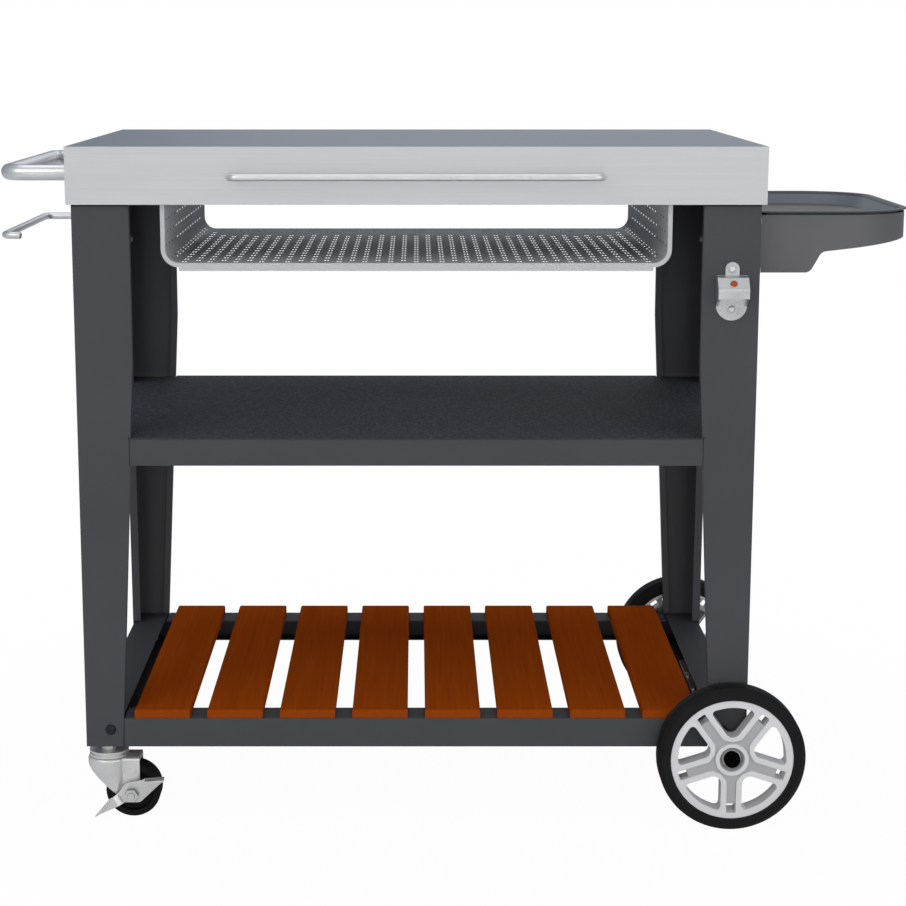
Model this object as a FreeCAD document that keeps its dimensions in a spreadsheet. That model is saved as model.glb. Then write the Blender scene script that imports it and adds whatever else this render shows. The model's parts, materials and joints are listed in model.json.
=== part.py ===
import FreeCAD, Part
import math
import os
import re

import Sketcher

# Grill cart with storage: a folded steel worktop on four tapered legs, with a hanging
# perforated tray, a middle shelf, a slatted bottom shelf, a push handle, a towel holder,
# a side bin, two big wheels on the right and two braked casters on the left.
# Millimetres, +X to the right, +Y to the back, +Z up. The origin is on the floor, at the
# middle of the whole cart. Widths are named from left to right, depths from front to back.

SIZES = [
    # Worktop
    ("worktop_width", 914),
    ("worktop_depth", 570),
    ("cart_height", 920),
    ("skirt_height", 75),
    ("worktop_sheet", 1.5),
    # Legs
    ("leg_inset_side", 6),
    ("leg_inset_front", 7),
    ("leg_sheet", 2),
    ("leg_foot", 106),
    ("leg_head_gap", 4),
    ("leg_width", 75),
    ("leg_depth", 76.5),
    ("leg_foot_width", 49.8),
    ("leg_foot_depth", 56),
    ("leg_taper_start", 632),
    ("leg_return", 10),
    ("leg_return_lip", 9),
    ("leg_side_lip", 12),
    ("fold_gap", 2),
    # Top frame
    ("top_rail_height", 60),
    ("top_rail_flange", 30),
    ("stiffener_width", 36),
    ("stiffener_height", 20),
    ("stiffener_sheet", 1.5),
    # Middle shelf
    ("shelf_height", 534.4),
    ("shelf_inset", 0.5),
    ("shelf_skirt", 37),
    ("shelf_sheet", 1.5),
    ("shelf_notch", 2.2),
    ("joint_line", 0.8),
    # Bottom frame and slats
    ("rail_height", 40),
    ("rail_flange", 49),
    ("rail_foot", 22),
    ("rail_sheet", 2),
    ("rail_tab", 34),
    ("slat_count", 8),
    ("slat_width", 75.5),
    ("slat_thickness", 12),
    ("slat_end_inset", 1),
    ("slat_margin", 66.4),
    ("slat_rounding", 2.5),
    # Hanging perforated tray
    ("tray_width", 660),
    ("tray_depth", 540),
    ("tray_sheet", 1.5),
    ("tray_floor", 767.7),
    ("tray_corner", 18),
    ("tray_side_return", 6.5),
    ("tray_front_lip", 10.5),
    ("tray_lip_inset", 15),
    ("tray_ear", 30),
    # Towel bar on the front
    ("bar_radius", 4.5),
    ("bar_span", 483),
    ("bar_stand_off", 29.5),
    ("bar_drop", 38),
    ("bar_bend", 12),
    # Push handle on the left
    ("handle_radius", 10.75),
    ("handle_wall", 1.5),
    ("handle_reach", 91.5),
    ("handle_spread", 400),
    ("handle_bend", 25),
    ("handle_drop", 38),
    # Paper towel holder on the rear left leg
    ("holder_radius", 5.1),
    ("holder_reach", 120),
    ("holder_drop", 129.8),
    ("holder_front", 110),
    ("holder_stub", 24),
    ("holder_bend", 12),
    ("holder_plate_width", 34),
    ("holder_plate_sheet", 3),
    # Holes shared by what hangs on the legs' outer sides
    ("side_bolt_inset", 45),
    ("side_bolt_drop", 166),
    ("side_bolt_pitch", 66),
    ("side_plate_margin", 14),
    # Side bin on the right legs
    ("bin_reach", 225),
    ("bin_inset", 72),
    ("bin_corner", 95),
    ("bin_rim_drop", 89.5),
    ("bin_rim_overhang", 3),
    ("bin_rim_sheet", 2),
    ("bin_shadow_gap", 2.8),
    ("bin_wall", 2.5),
    ("bin_deep_drop", 172),
    ("bin_deep_reach", 79),
    ("bin_step_reach", 94.5),
    ("bin_step_drop", 144),
    ("bin_step_rounding", 11),
    ("bin_tip_drop", 129),
    ("bin_plate_sheet", 3),
    ("bin_plate_margin", 20),
    ("bin_tray_depth", 20),
    ("bin_tray_slope", 14),
    ("bin_tray_gap", 1),
    # Bottle opener on the front right leg
    ("opener_drop", 150),
    ("opener_inset", 36.5),
    ("opener_width", 41),
    ("opener_height", 77),
    ("opener_tab", 9.25),
    ("opener_sheet", 3),
    ("opener_hood_drop", 17.5),
    ("opener_hood_height", 29),
    ("opener_hood_reach", 25),
    ("opener_cheek", 3),
    # Axle and big wheels
    ("axle_radius", 5),
    ("axle_inset", 24),
    ("axle_stick_out", 16),
    ("axle_cap_stick_out", 18.5),
    ("wheel_radius", 100),
    ("wheel_gap", 3),
    ("tyre_width", 38),
    ("tyre_bead", 80),
    ("tyre_shoulder", 6),
    ("tyre_rib", 1.4),
    ("tread_groove_count", 4),
    ("tread_groove_pitch", 6),
    ("rim_radius", 83),
    ("rim_barrel", 76),
    ("rim_width", 32),
    ("rim_lip", 2),
    ("spoke_back", 8),
    ("valley_drop", 3.5),
    ("spoke_hollow_sheet", 4),
    ("hub_radius", 22.4),
    ("hub_length", 34),
    ("hub_recess_radius", 17.2),
    ("hub_recess_depth", 6),
    ("hub_recess_floor", 13),
    ("bush_radius", 9),
    ("running_gap", 0.05),
    ("spoke_count", 5),
    ("spoke_width", 28.2),
    ("spoke_ridge", 7.6),
    ("window_outer", 74.5),
    ("window_corner", 5.5),
    ("window_root", 10.7),
    ("slot_inner", 63),
    ("slot_outer", 75),
    ("slot_width", 12.4),
    ("axle_cap_radius", 11),
    ("axle_washer_radius", 9),
    ("bracket_width", 44),
    ("bracket_hollow", 16),
    ("bracket_length", 116),
    ("bracket_start", 4),
    ("bracket_sheet", 2.5),
    ("bracket_foot_offset", 16.2),
    ("bracket_screw_inset", 29),
    ("bracket_step", 50),
    # Casters
    ("caster_inset_side", 26),
    ("caster_inset_end", 32),
    ("caster_trail", 34),
    ("caster_wheel_radius", 37.5),
    ("caster_wheel_width", 33),
    ("caster_tread_crown", 1.8),
    ("caster_hub_radius", 12),
    ("caster_tread", 9),
    ("caster_side_gap", 1.5),
    ("fork_sheet", 2.5),
    ("fork_crown_radius", 29),
    ("fork_crown_height", 5),
    ("fork_shoulder", 4),
    ("fork_front", 44),
    ("fork_mark_depth", 2),
    ("fork_mark_width", 19.7),
    ("fork_mark_neck", 11.9),
    ("fork_mark_height", 6),
    ("fork_foot", 13),
    ("race_radius", 27),
    ("race_neck_radius", 24.5),
    ("race_height", 20.4),
    ("race_ring", 3),
    ("race_plate", 2.5),
    ("stem_boss_radius", 10),
    ("stem_boss_height", 12),
    ("race_gap", 0.3),
    ("stem_radius", 6),
    ("stem_reach", 12),
    ("caster_bolt_radius", 5),
    ("caster_nut_flats", 17),
    ("caster_nut_height", 8),
    ("lever_sheet", 3),
    ("lever_gap", 0.7),
    ("lever_hub", 10),
    ("lever_joggle", 6),
    ("pedal_reach", 45),
    ("pedal_rise", 24.4),
    ("pedal_width", 12),
    ("pedal_length", 26),
    ("release_reach", 50),
    ("release_drop", 29.5),
    # Fasteners
    ("screw_radius", 3),
    ("bolt_radius", 4),
    ("bolt_head_radius", 7),
    ("bolt_head_height", 4.5),
    ("top_bolt_radius", 4),
    ("top_bolt_head_radius", 7),
    ("top_bolt_head_height", 3.5),
    ("handle_thread", 12),
    ("hex_flats", 13),
    ("hex_height", 6.5),
    ("bolt_stick_out", 4),
    ("screw_head_radius", 5),
    ("screw_head_height", 3),
    ("hole_gap", 0.25),
    ("frame_bolt_inset", 33.6),
    ("frame_bolt_height", 130.2),
    ("rail_bolt_inset", 35),
]

# Places that follow from the sizes, written as formulas on them.
PLACES = {
    "centre": "((holder_reach_out - bin_reach) / 2)",
    "leg_x_flat": "(worktop_width / 2 - leg_inset_side)",
    "leg_y_flat": "(worktop_depth / 2 - leg_inset_front)",
    "holder_reach_out": "(holder_reach + holder_radius)",
    "worktop_back": "(cart_height - worktop_sheet)",
    "skirt_bottom": "(cart_height - skirt_height)",
    "leg_top": "(worktop_back - leg_head_gap)",
    "rail_top": "(leg_foot + rail_height)",
    "return_foot": "(rail_top + fold_gap)",
    "return_top": "(skirt_bottom - fold_gap)",
    "leg_inner_x": "(leg_x_flat - leg_sheet)",
    "leg_inner_y": "(leg_y_flat - leg_sheet)",
    "rail_share": "(rail_height / (leg_taper_start - leg_foot))",
    "rail_top_leg_width": "(leg_foot_width + (leg_width - leg_foot_width) * rail_share)",
    "taper_share": "((return_foot - leg_foot) / (leg_taper_start - leg_foot))",
    "return_foot_width": "(leg_foot_width + (leg_width - leg_foot_width) * taper_share)",
    "return_foot_depth": "(leg_foot_depth + (leg_depth - leg_foot_depth) * taper_share)",
    "side_bolt_low": "(cart_height - side_bolt_drop)",
    "side_bolt_high": "(side_bolt_low + side_bolt_pitch)",
    "side_bolt_y": "(leg_y_flat - side_bolt_inset)",
}

doc = FreeCAD.newDocument("grill_cart")
sheet = doc.addObject("Spreadsheet::Sheet", "Sizes")
for row, (alias, size) in enumerate(SIZES, start=1):
    sheet.set(f"A{row}", alias)
    sheet.set(f"B{row}", str(size))
    sheet.setAlias(f"B{row}", alias)
doc.recompute()

names = {alias for alias, size in SIZES}
nodes = []


def tied(text):
    """A formula in plain size names, as the document reads it."""
    def swap(match):
        word = match.group(0)
        if word in PLACES:
            return tied(PLACES[word])
        return "Sizes." + word if word in names else word
    return re.sub(r"[a-z_][a-z_0-9]*", swap, str(text))


def value(text):
    return float(sheet.evalExpression(tied(text)))


def across(side, near, far):
    """A span in X measured outward from the worktop's centre, on the side -1 or 1."""
    if side > 0:
        return (f"centre + ({near})", f"centre + ({far})")
    return (f"centre - ({far})", f"centre - ({near})")


def along(side, near, far):
    """A span in Y measured outward from the cart's middle, at the front, -1, or back, 1."""
    if side > 0:
        return (f"({near})", f"({far})")
    return (f"-({far})", f"-({near})")


def both(half):
    return (f"-({half})", f"({half})")


def at(thing, x, y, z, turn=None):
    if turn is not None:
        thing.Placement = FreeCAD.Placement(FreeCAD.Vector(), turn)
    for letter, text in zip("xyz", (x, y, z)):
        thing.setExpression(f"Placement.Base.{letter}", tied(text))
    return thing


def box(name, x, y, z):
    """A block, each side given as its low and high ends."""
    block = doc.addObject("Part::Box", name)
    for side, span in zip(("Length", "Width", "Height"), (x, y, z)):
        block.setExpression(side, tied(f"({span[1]}) - ({span[0]})"))
    return at(block, x[0], y[0], z[0])


TURNS = {
    "x": FreeCAD.Rotation(FreeCAD.Vector(0, 1, 0), 90),
    "y": FreeCAD.Rotation(FreeCAD.Vector(1, 0, 0), -90),
    "z": FreeCAD.Rotation(),
}


def rod(name, radius, way, x, y, z):
    """A cylinder along the axis way, whose own coordinate is given as a low and high end."""
    round_bar = doc.addObject("Part::Cylinder", name)
    ends = {"x": x, "y": y, "z": z}
    low, high = ends[way]
    ends[way] = low
    round_bar.setExpression("Radius", tied(radius))
    round_bar.setExpression("Height", tied(f"({high}) - ({low})"))
    return at(round_bar, ends["x"], ends["y"], ends["z"], TURNS[way])


def join(name, pieces):
    whole = doc.addObject("Part::MultiFuse", name)
    whole.Shapes = pieces
    whole.Refine = True
    return whole


def cut(name, base, tools):
    tool = tools[0] if len(tools) == 1 else join(name + "_holes", tools)
    rest = doc.addObject("Part::Cut", name)
    rest.Base = base
    rest.Tool = tool
    return rest


def keep(thing, label):
    """Marks a finished sub-part, whose label names its file."""
    thing.Label = label
    nodes.append(thing)
    return thing


def body(name):
    made = doc.addObject("PartDesign::Body", name)
    doc.recompute()
    return made


def plane(owner, role):
    return next(f for f in owner.Origin.OriginFeatures if f.Role == role)


def sketch(owner, name, role, offset="0"):
    """A sketch on one of its body's planes, moved off it along the plane's normal."""
    drawing = owner.newObject("Sketcher::SketchObject", name)
    drawing.AttachmentSupport = [(plane(owner, role), "")]
    drawing.MapMode = "FlatFace"
    drawing.setExpression("AttachmentOffset.Base.z", tied(offset))
    return drawing


def pin_point(drawing, edge, end, point):
    """Ties one end of an edge to its place from the origin."""
    for kind, text in zip(("DistanceX", "DistanceY"), point):
        rule = Sketcher.Constraint(kind, -1, 1, edge, end, value(text))
        spot = drawing.addConstraint(rule)
        drawing.setExpression(f"Constraints[{spot}]", tied(text))


def spot(point):
    return FreeCAD.Vector(value(point[0]), value(point[1]), 0)


def polygon(drawing, points, closed=True):
    """Straight edges through the points, every corner tied to its formulas."""
    count = len(points) if closed else len(points) - 1
    first = drawing.GeometryCount
    for step in range(count):
        start, end = points[step], points[(step + 1) % len(points)]
        drawing.addGeometry(Part.LineSegment(spot(start), spot(end)), False)
    for step in range(1, count):
        drawing.addConstraint(Sketcher.Constraint("Coincident", first + step - 1, 2, first + step, 1))
    if closed:
        drawing.addConstraint(Sketcher.Constraint("Coincident", first + count - 1, 2, first, 1))
    for step in range(count):
        pin_point(drawing, first + step, 1, points[step])
    if not closed:
        pin_point(drawing, first + count - 1, 2, points[-1])


def circle(drawing, point, radius):
    edge = drawing.addGeometry(Part.Circle(spot(point), FreeCAD.Vector(0, 0, 1), value(radius)), False)
    pin_point(drawing, edge, 3, point)
    rule = drawing.addConstraint(Sketcher.Constraint("Radius", edge, value(radius)))
    drawing.setExpression(f"Constraints[{rule}]", tied(radius))
    return edge


def rounded(drawing, points, radii, closed=True):
    """An outline of straight edges with an arc at each corner that has a radius.

    The corners are construction points tied to their formulas. The edges run through them and
    the arcs touch the edges.
    """
    total = len(points)
    corners = [spot(point) for point in points]
    sides = total if closed else total - 1
    ends = [[corners[step], corners[(step + 1) % total]] for step in range(sides)]
    arcs = []
    for step in range(total):
        if radii[step] is None or (not closed and step in (0, total - 1)):
            continue
        before, after = (step - 1) % sides if closed else step - 1, step
        way_in = (corners[step] - corners[step - 1]).normalize()
        way_out = (corners[(step + 1) % total] - corners[step]).normalize()
        size = value(radii[step])
        reach = size * math.tan(way_in.getAngle(way_out) / 2)
        start, end = corners[step] - way_in * reach, corners[step] + way_out * reach
        left = way_in.cross(way_out).z > 0
        normal = FreeCAD.Vector(-way_in.y, way_in.x, 0) * (1 if left else -1)
        middle = start + normal * size
        halfway = middle + (corners[step] - middle).normalize() * size
        ends[before][1], ends[after][0] = start, end
        arcs.append((before, after, step, start, halfway, end, left))
    lines = [drawing.addGeometry(Part.LineSegment(a, b), False) for a, b in ends]
    rounded_steps = {arc[2] for arc in arcs}
    for before, after, step, start, halfway, end, left in arcs:
        edge = drawing.addGeometry(Part.Arc(start, halfway, end), False)
        first, last = (1, 2) if left else (2, 1)
        drawing.addConstraint(Sketcher.Constraint("Tangent", lines[before], 2, edge, first))
        drawing.addConstraint(Sketcher.Constraint("Tangent", edge, last, lines[after], 1))
        rule = drawing.addConstraint(Sketcher.Constraint("Radius", edge, value(radii[step])))
        drawing.setExpression(f"Constraints[{rule}]", tied(radii[step]))
        mark = drawing.addGeometry(Part.Point(corners[step]), True)
        pin_point(drawing, mark, 1, points[step])
        drawing.addConstraint(Sketcher.Constraint("PointOnObject", mark, 1, lines[before]))
        drawing.addConstraint(Sketcher.Constraint("PointOnObject", mark, 1, lines[after]))
    for step in range(total):
        if step in rounded_steps:
            continue
        if closed or 0 < step < total - 1:
            drawing.addConstraint(Sketcher.Constraint("Coincident", lines[step - 1], 2, lines[step], 1))
        if closed or step < total - 1:
            pin_point(drawing, lines[step], 1, points[step])
        else:
            pin_point(drawing, lines[step - 1], 2, points[step])


# How each plane's normal runs: the XZ plane looks to the front.
FACES = {"XY_Plane": 1, "YZ_Plane": 1, "XZ_Plane": -1}


def pad(owner, name, role, span, points, radii=None):
    """Material between two heights over a plane, with a polygon or rounded outline."""
    low, high = span
    start = low if FACES[role] > 0 else f"-({high})"
    drawing = sketch(owner, name + "_outline", role, start)
    if radii is None:
        polygon(drawing, points)
    else:
        rounded(drawing, points, radii)
    grown = owner.newObject("PartDesign::Pad", name)
    grown.Profile = drawing
    grown.setExpression("Length", tied(f"({high}) - ({low})"))
    drawing.Visibility = False
    return grown


def edge_strip(edge, width, foot, near):
    """The outline along a leg's tapered free edge, a strip of the given width inside it.

    edge(u, z) places a point a distance u in from the leg's outer plane.
    """
    return [
        edge(f"({foot})", "return_foot"),
        edge(f"({foot} - {near})", "return_foot"),
        edge(f"({width} - {near})", "leg_taper_start"),
        edge(f"({width} - {near})", "return_top"),
        edge(f"({width})", "return_top"),
        edge(f"({width})", "leg_taper_start"),
    ]


def leg(name, side, end):
    """A tapered leg folded from one sheet: two flanges, a boxed edge and a side lip."""
    made = body(name + "_sheet")

    def front_edge(u, z):
        return (f"centre + {side} * (leg_x_flat - {u})", z)

    def side_edge(v, z):
        return (f"{end} * (leg_y_flat - {v})", z)

    def flange(edge, width, foot):
        return [edge("0", "leg_foot"), edge("0", "leg_top"), edge(width, "leg_top"),
                edge(width, "leg_taper_start"), edge(foot, "leg_foot")]

    pad(made, name + "_face", "XZ_Plane", along(end, "leg_inner_y", "leg_y_flat"),
        flange(front_edge, "leg_width", "leg_foot_width"))
    pad(made, name + "_flank", "YZ_Plane", across(side, "leg_inner_x", "leg_x_flat"),
        flange(side_edge, "leg_depth", "leg_foot_depth"))
    pad(made, name + "_return", "XZ_Plane", along(end, "leg_inner_y - leg_return", "leg_inner_y"),
        edge_strip(front_edge, "leg_width", "return_foot_width", "leg_sheet"))
    pad(made, name + "_return_lip", "XZ_Plane",
        along(end, "leg_inner_y - leg_return", "leg_inner_y - leg_return + leg_sheet"),
        edge_strip(front_edge, "leg_width", "return_foot_width", "leg_return_lip"))
    pad(made, name + "_side_lip", "YZ_Plane", across(side, "leg_x_flat - leg_side_lip", "leg_inner_x"),
        edge_strip(side_edge, "leg_depth", "return_foot_depth", "leg_sheet"))
    keep(cut(name, made, leg_holes(name, side, end) + shelf_notch(name, side, end)), name)


def shelf_notch(name, side, end):
    """A notch in the leg's face for the end of the shelf's apron, eased at its corners."""
    face = along(end, "leg_inner_y", "leg_y_flat + 1")
    deepest = "leg_x_flat - shelf_leg_width + shelf_notch"
    low, high = "shelf_height - shelf_skirt - joint_line", "shelf_height + joint_line"
    eased = [rod(f"{name}_notch_{tag}", "shelf_notch / 2", "y", f"centre + {side} * ({deepest})", face, level)
             for tag, level in (("low", low), ("high", high))]
    return [box(name + "_notch", across(side, "leg_x_flat - leg_width - 1", deepest), face,
                (low, high))] + eased


def hole(name, radius, way, x, y, z):
    return rod(name, f"{radius} + hole_gap", way, x, y, z)


def leg_holes(name, side, end):
    """Clearance holes for the bolts of the frame, the shelf, the top rail and the side pieces."""
    flank = across(side, "leg_inner_x - 1", "leg_x_flat + 1")
    face = along(end, "leg_inner_y - 1", "leg_y_flat + 1")
    holes = [
        hole(name + "_hole_frame", "bolt_radius", "y",
             f"centre + {side} * frame_bolt_x", face, "frame_bolt_height"),
        hole(name + "_hole_rail", "bolt_radius", "x", flank, f"{end} * rail_bolt_y", "rail_bolt_height"),
        hole(name + "_hole_shelf", "bolt_radius", "x", flank, f"{end} * shelf_bolt_y", "shelf_bolt_height"),
        hole(name + "_hole_top", "bolt_radius", "x", flank, f"{end} * shelf_bolt_y", "top_bolt_height"),
    ]
    if side > 0 or end > 0:
        for level in ("low", "high"):
            holes.append(hole(f"{name}_hole_{level}", "bolt_radius", "x", flank,
                              f"{end} * side_bolt_y", f"side_bolt_{level}"))
    return holes


def worktop():
    """The folded stainless pan: a top sheet with four skirts."""
    outer = box("pan_outside", across_both("worktop_width / 2"), both("worktop_depth / 2"),
                ("skirt_bottom", "cart_height"))
    inner = box("pan_inside", across_both("worktop_width / 2 - worktop_sheet"),
                both("worktop_depth / 2 - worktop_sheet"), ("skirt_bottom - 1", "worktop_back"))
    holes = []
    for end in ("-", "+"):
        holes.append(hole(f"pan_hole_bar_{len(holes)}", "screw_radius", "y",
                          f"centre {end} bar_span / 2", ("-worktop_depth / 2 - 1", "-worktop_depth / 2 + 4"),
                          "cart_height - bar_drop"))
        holes.append(hole(f"pan_hole_handle_{len(holes)}", "bolt_radius", "x",
                          ("centre - worktop_width / 2 - 1", "centre - worktop_width / 2 + 4"),
                          f"{end} handle_spread / 2", "cart_height - handle_drop"))
    keep(cut("pan", outer, [inner] + holes), "worktop_panel")


def across_both(half):
    return (f"centre - ({half})", f"centre + ({half})")


def top_rail(name, side):
    """A channel that ties a front and a rear leg together under the worktop."""
    web = box(name + "_web", across(side, "leg_inner_x - rail_sheet", "leg_inner_x"),
              both("leg_inner_y"), ("top_rail_low", "worktop_back"))
    flange = box(name + "_flange", across(side, "leg_inner_x - top_rail_flange", "leg_inner_x"),
                 both("leg_inner_y"), ("worktop_back - rail_sheet", "worktop_back"))
    foot = box(name + "_foot", across(side, "leg_inner_x - rail_foot", "leg_inner_x"),
               both("leg_inner_y"), ("top_rail_low", "top_rail_low + rail_sheet"))
    holes = [hole(f"{name}_hole_{end}", "bolt_radius", "x",
                  across(side, "leg_inner_x - 4", "leg_inner_x + 1"),
                  f"{end} * shelf_bolt_y", "top_bolt_height") for end in (-1, 1)]
    keep(cut(name, join(name + "_sheet", [web, flange, foot]), holes), name)


def stiffener(name, side):
    """A hat channel under the worktop, which also carries the hanging tray."""
    outer = box(name + "_outside", across(side, "tray_width / 2 + joint_line",
                                         "tray_width / 2 + joint_line + stiffener_width"),
                both("worktop_depth / 2 - worktop_sheet - joint_line"), ("stiffener_low", "worktop_back"))
    inner = box(name + "_inside",
                across(side, "tray_width / 2 + joint_line + stiffener_sheet",
                       "tray_width / 2 + joint_line + stiffener_width - stiffener_sheet"),
                both("worktop_depth / 2"), ("stiffener_low + stiffener_sheet", "worktop_back + 1"))
    holes = [hole(f"{name}_hole_{end}", "screw_radius", "z", f"centre + {side} * tray_screw_x",
                  f"{end} * tray_screw_y", ("stiffener_low - 1", "stiffener_low + 4")) for end in (-1, 1)]
    keep(cut(name, outer, [inner] + holes), name)


def shelf():
    """The middle shelf: a flat deck between the legs, with a strip welded under each edge."""
    deck_x, deck_y = "leg_inner_x", "shelf_depth / 2 - leg_sheet - leg_return - joint_line"
    under = "shelf_height - shelf_sheet"
    top, deep = (under, "shelf_height"), ("shelf_height - shelf_skirt", under)
    middle = "leg_x_flat - shelf_leg_width - joint_line"
    plates = [
        box("shelf_deck_ends", across_both(deck_x), both(deck_y), top),
        box("shelf_deck_middle", across_both(middle), both("shelf_depth / 2"), top),
    ]
    strips, gaps = [], []
    for side in (-1, 1):
        strips.append(box(f"shelf_apron_{side}", across_both(f"{middle} + shelf_notch"),
                          along(side, "shelf_depth / 2 - shelf_sheet", "shelf_depth / 2"), deep))
        slots = [box(f"shelf_slot_{side}_{end}",
                     across(side, "leg_x_flat - leg_side_lip - joint_line", "leg_x_flat"),
                     along(end, "shelf_lip_y - joint_line", "shelf_lip_y + leg_sheet + 2 * joint_line"),
                     ("shelf_height - shelf_skirt - 1", "shelf_height + 1")) for end in (-1, 1)]
        holes = [hole(f"shelf_hole_{side}_{end}", "bolt_radius", "x",
                      across(side, "leg_inner_x - 4", "leg_inner_x + 1"),
                      f"{end} * shelf_bolt_y", "shelf_bolt_height") for end in (-1, 1)]
        strips.append(cut(f"shelf_side_{side}_drilled",
                          box(f"shelf_side_{side}", across(side, f"{deck_x} - shelf_sheet", deck_x),
                              both(deck_y), deep), slots + holes))
        gaps += slots
    keep(cut("shelf_deck", join("shelf_deck_sheet", plates), gaps), "middle_shelf")
    group("shelf_skirts", strips)


def end_rail(name, end):
    """A front or rear bottom rail, flush with the legs, with a bolted tab behind each leg."""
    half = "leg_x_flat - rail_top_leg_width - joint_line"
    pieces = [
        box(name + "_web", across_both(half), along(end, "leg_inner_y", "leg_y_flat"),
            ("leg_foot", "rail_top")),
        box(name + "_flange", across_both(half), along(end, "leg_y_flat - rail_flange", "leg_y_flat"),
            ("rail_top - rail_sheet", "rail_top")),
        box(name + "_foot", across_both(half), along(end, "leg_y_flat - rail_foot", "leg_y_flat"),
            ("leg_foot", "leg_foot + rail_sheet")),
    ]
    for side in (-1, 1):
        pieces.append(box(f"{name}_tab_{side}", across(side, "frame_bolt_x - rail_tab", "frame_bolt_x + 14"),
                          along(end, "leg_inner_y - rail_sheet", "leg_inner_y"),
                          ("leg_foot + rail_sheet", "rail_top - rail_sheet")))
    holes = [hole(f"{name}_hole_{side}", "bolt_radius", "y", f"centre + {side} * frame_bolt_x",
                  along(end, "leg_inner_y - 4", "leg_inner_y + 1"), "frame_bolt_height") for side in (-1, 1)]
    holes += [hole(f"{name}_screw_{count}", "screw_radius", "z", slat_x(count),
                   f"{end} * slat_screw_y", ("rail_top - 4", "rail_top + 1")) for count in range(slat_total)]
    keep(cut(name, join(name + "_sheet", pieces), holes), name)


def side_rail(name, side):
    """A left or right bottom rail inside the legs' side flanges."""
    near = "leg_x_flat - rail_flange"
    deep = both("leg_inner_y - rail_sheet - joint_line")
    pieces = [
        box(name + "_web", across(side, "leg_inner_x - rail_sheet", "leg_inner_x"), deep,
            ("leg_foot", "rail_top")),
        box(name + "_flange", across(side, near, "leg_inner_x"), deep, ("rail_top - rail_sheet", "rail_top")),
        box(name + "_foot", across(side, near, "leg_inner_x"), deep, ("leg_foot", "leg_foot + rail_sheet")),
    ]
    holes = [hole(f"{name}_hole_{end}", "bolt_radius", "x",
                  across(side, "leg_inner_x - 4", "leg_inner_x + 1"),
                  f"{end} * rail_bolt_y", "rail_bolt_height") for end in (-1, 1)]
    if side < 0:
        holes += [hole(f"{name}_stem_{end}", "stem_radius", "z", "caster_x", f"{end} * caster_y",
                       ("leg_foot - 1", "leg_foot + 4")) for end in (-1, 1)]
    else:
        holes += [hole(f"{name}_bracket_{foot}_{end}", "screw_radius", "z",
                       f"axle_x + {foot} * bracket_foot_offset", f"{end} * bracket_screw_y",
                       ("leg_foot - 1", "leg_foot + 4")) for end in (-1, 1) for foot in (-1, 1)]
    keep(cut(name, join(name + "_sheet", pieces), holes), name)


def slat_x(count):
    return f"centre + ({count} - (slat_count - 1) / 2) * slat_pitch"


def slat(count):
    """A timber slat with rounded long edges and a blind screw hole over each end rail."""
    name = f"slat_{count + 1}"
    made = body(name + "_timber")
    middle = slat_x(count)
    half = "slat_width / 2"
    low, high = "rail_top", "(rail_top + slat_thickness)"
    pad(made, name + "_board", "XZ_Plane", both("slat_length / 2"),
        [(f"{middle} - {half}", low), (f"{middle} + {half}", low),
         (f"{middle} + {half}", high), (f"{middle} - {half}", high)],
        [None, None, "slat_rounding", "slat_rounding"])
    holes = [hole(f"{name}_screw_{end}", "screw_radius", "z", middle, f"{end} * slat_screw_y",
                  (f"{low} - 1", f"{low} + slat_screw_depth")) for end in (-1, 1)]
    keep(cut(name, made, holes), name)



def plain(points):
    return [None] * len(points)


def pipe(owner, name, role, level, points, radii, start_role, start, middle, radius, wall=None):
    """A round bar or tube along a flat path with rounded bends, which starts square to a plane."""
    path = sketch(owner, name + "_path", role, level)
    rounded(path, points, radii, closed=False)
    ring = sketch(owner, name + "_ring", start_role, start)
    circle(ring, middle, radius)
    if wall is not None:
        circle(ring, middle, f"{radius} - {wall}")
    swept = owner.newObject("PartDesign::AdditivePipe", name)
    swept.Profile = ring
    swept.Spine = (path, [])
    path.Visibility = ring.Visibility = False
    return swept


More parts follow.
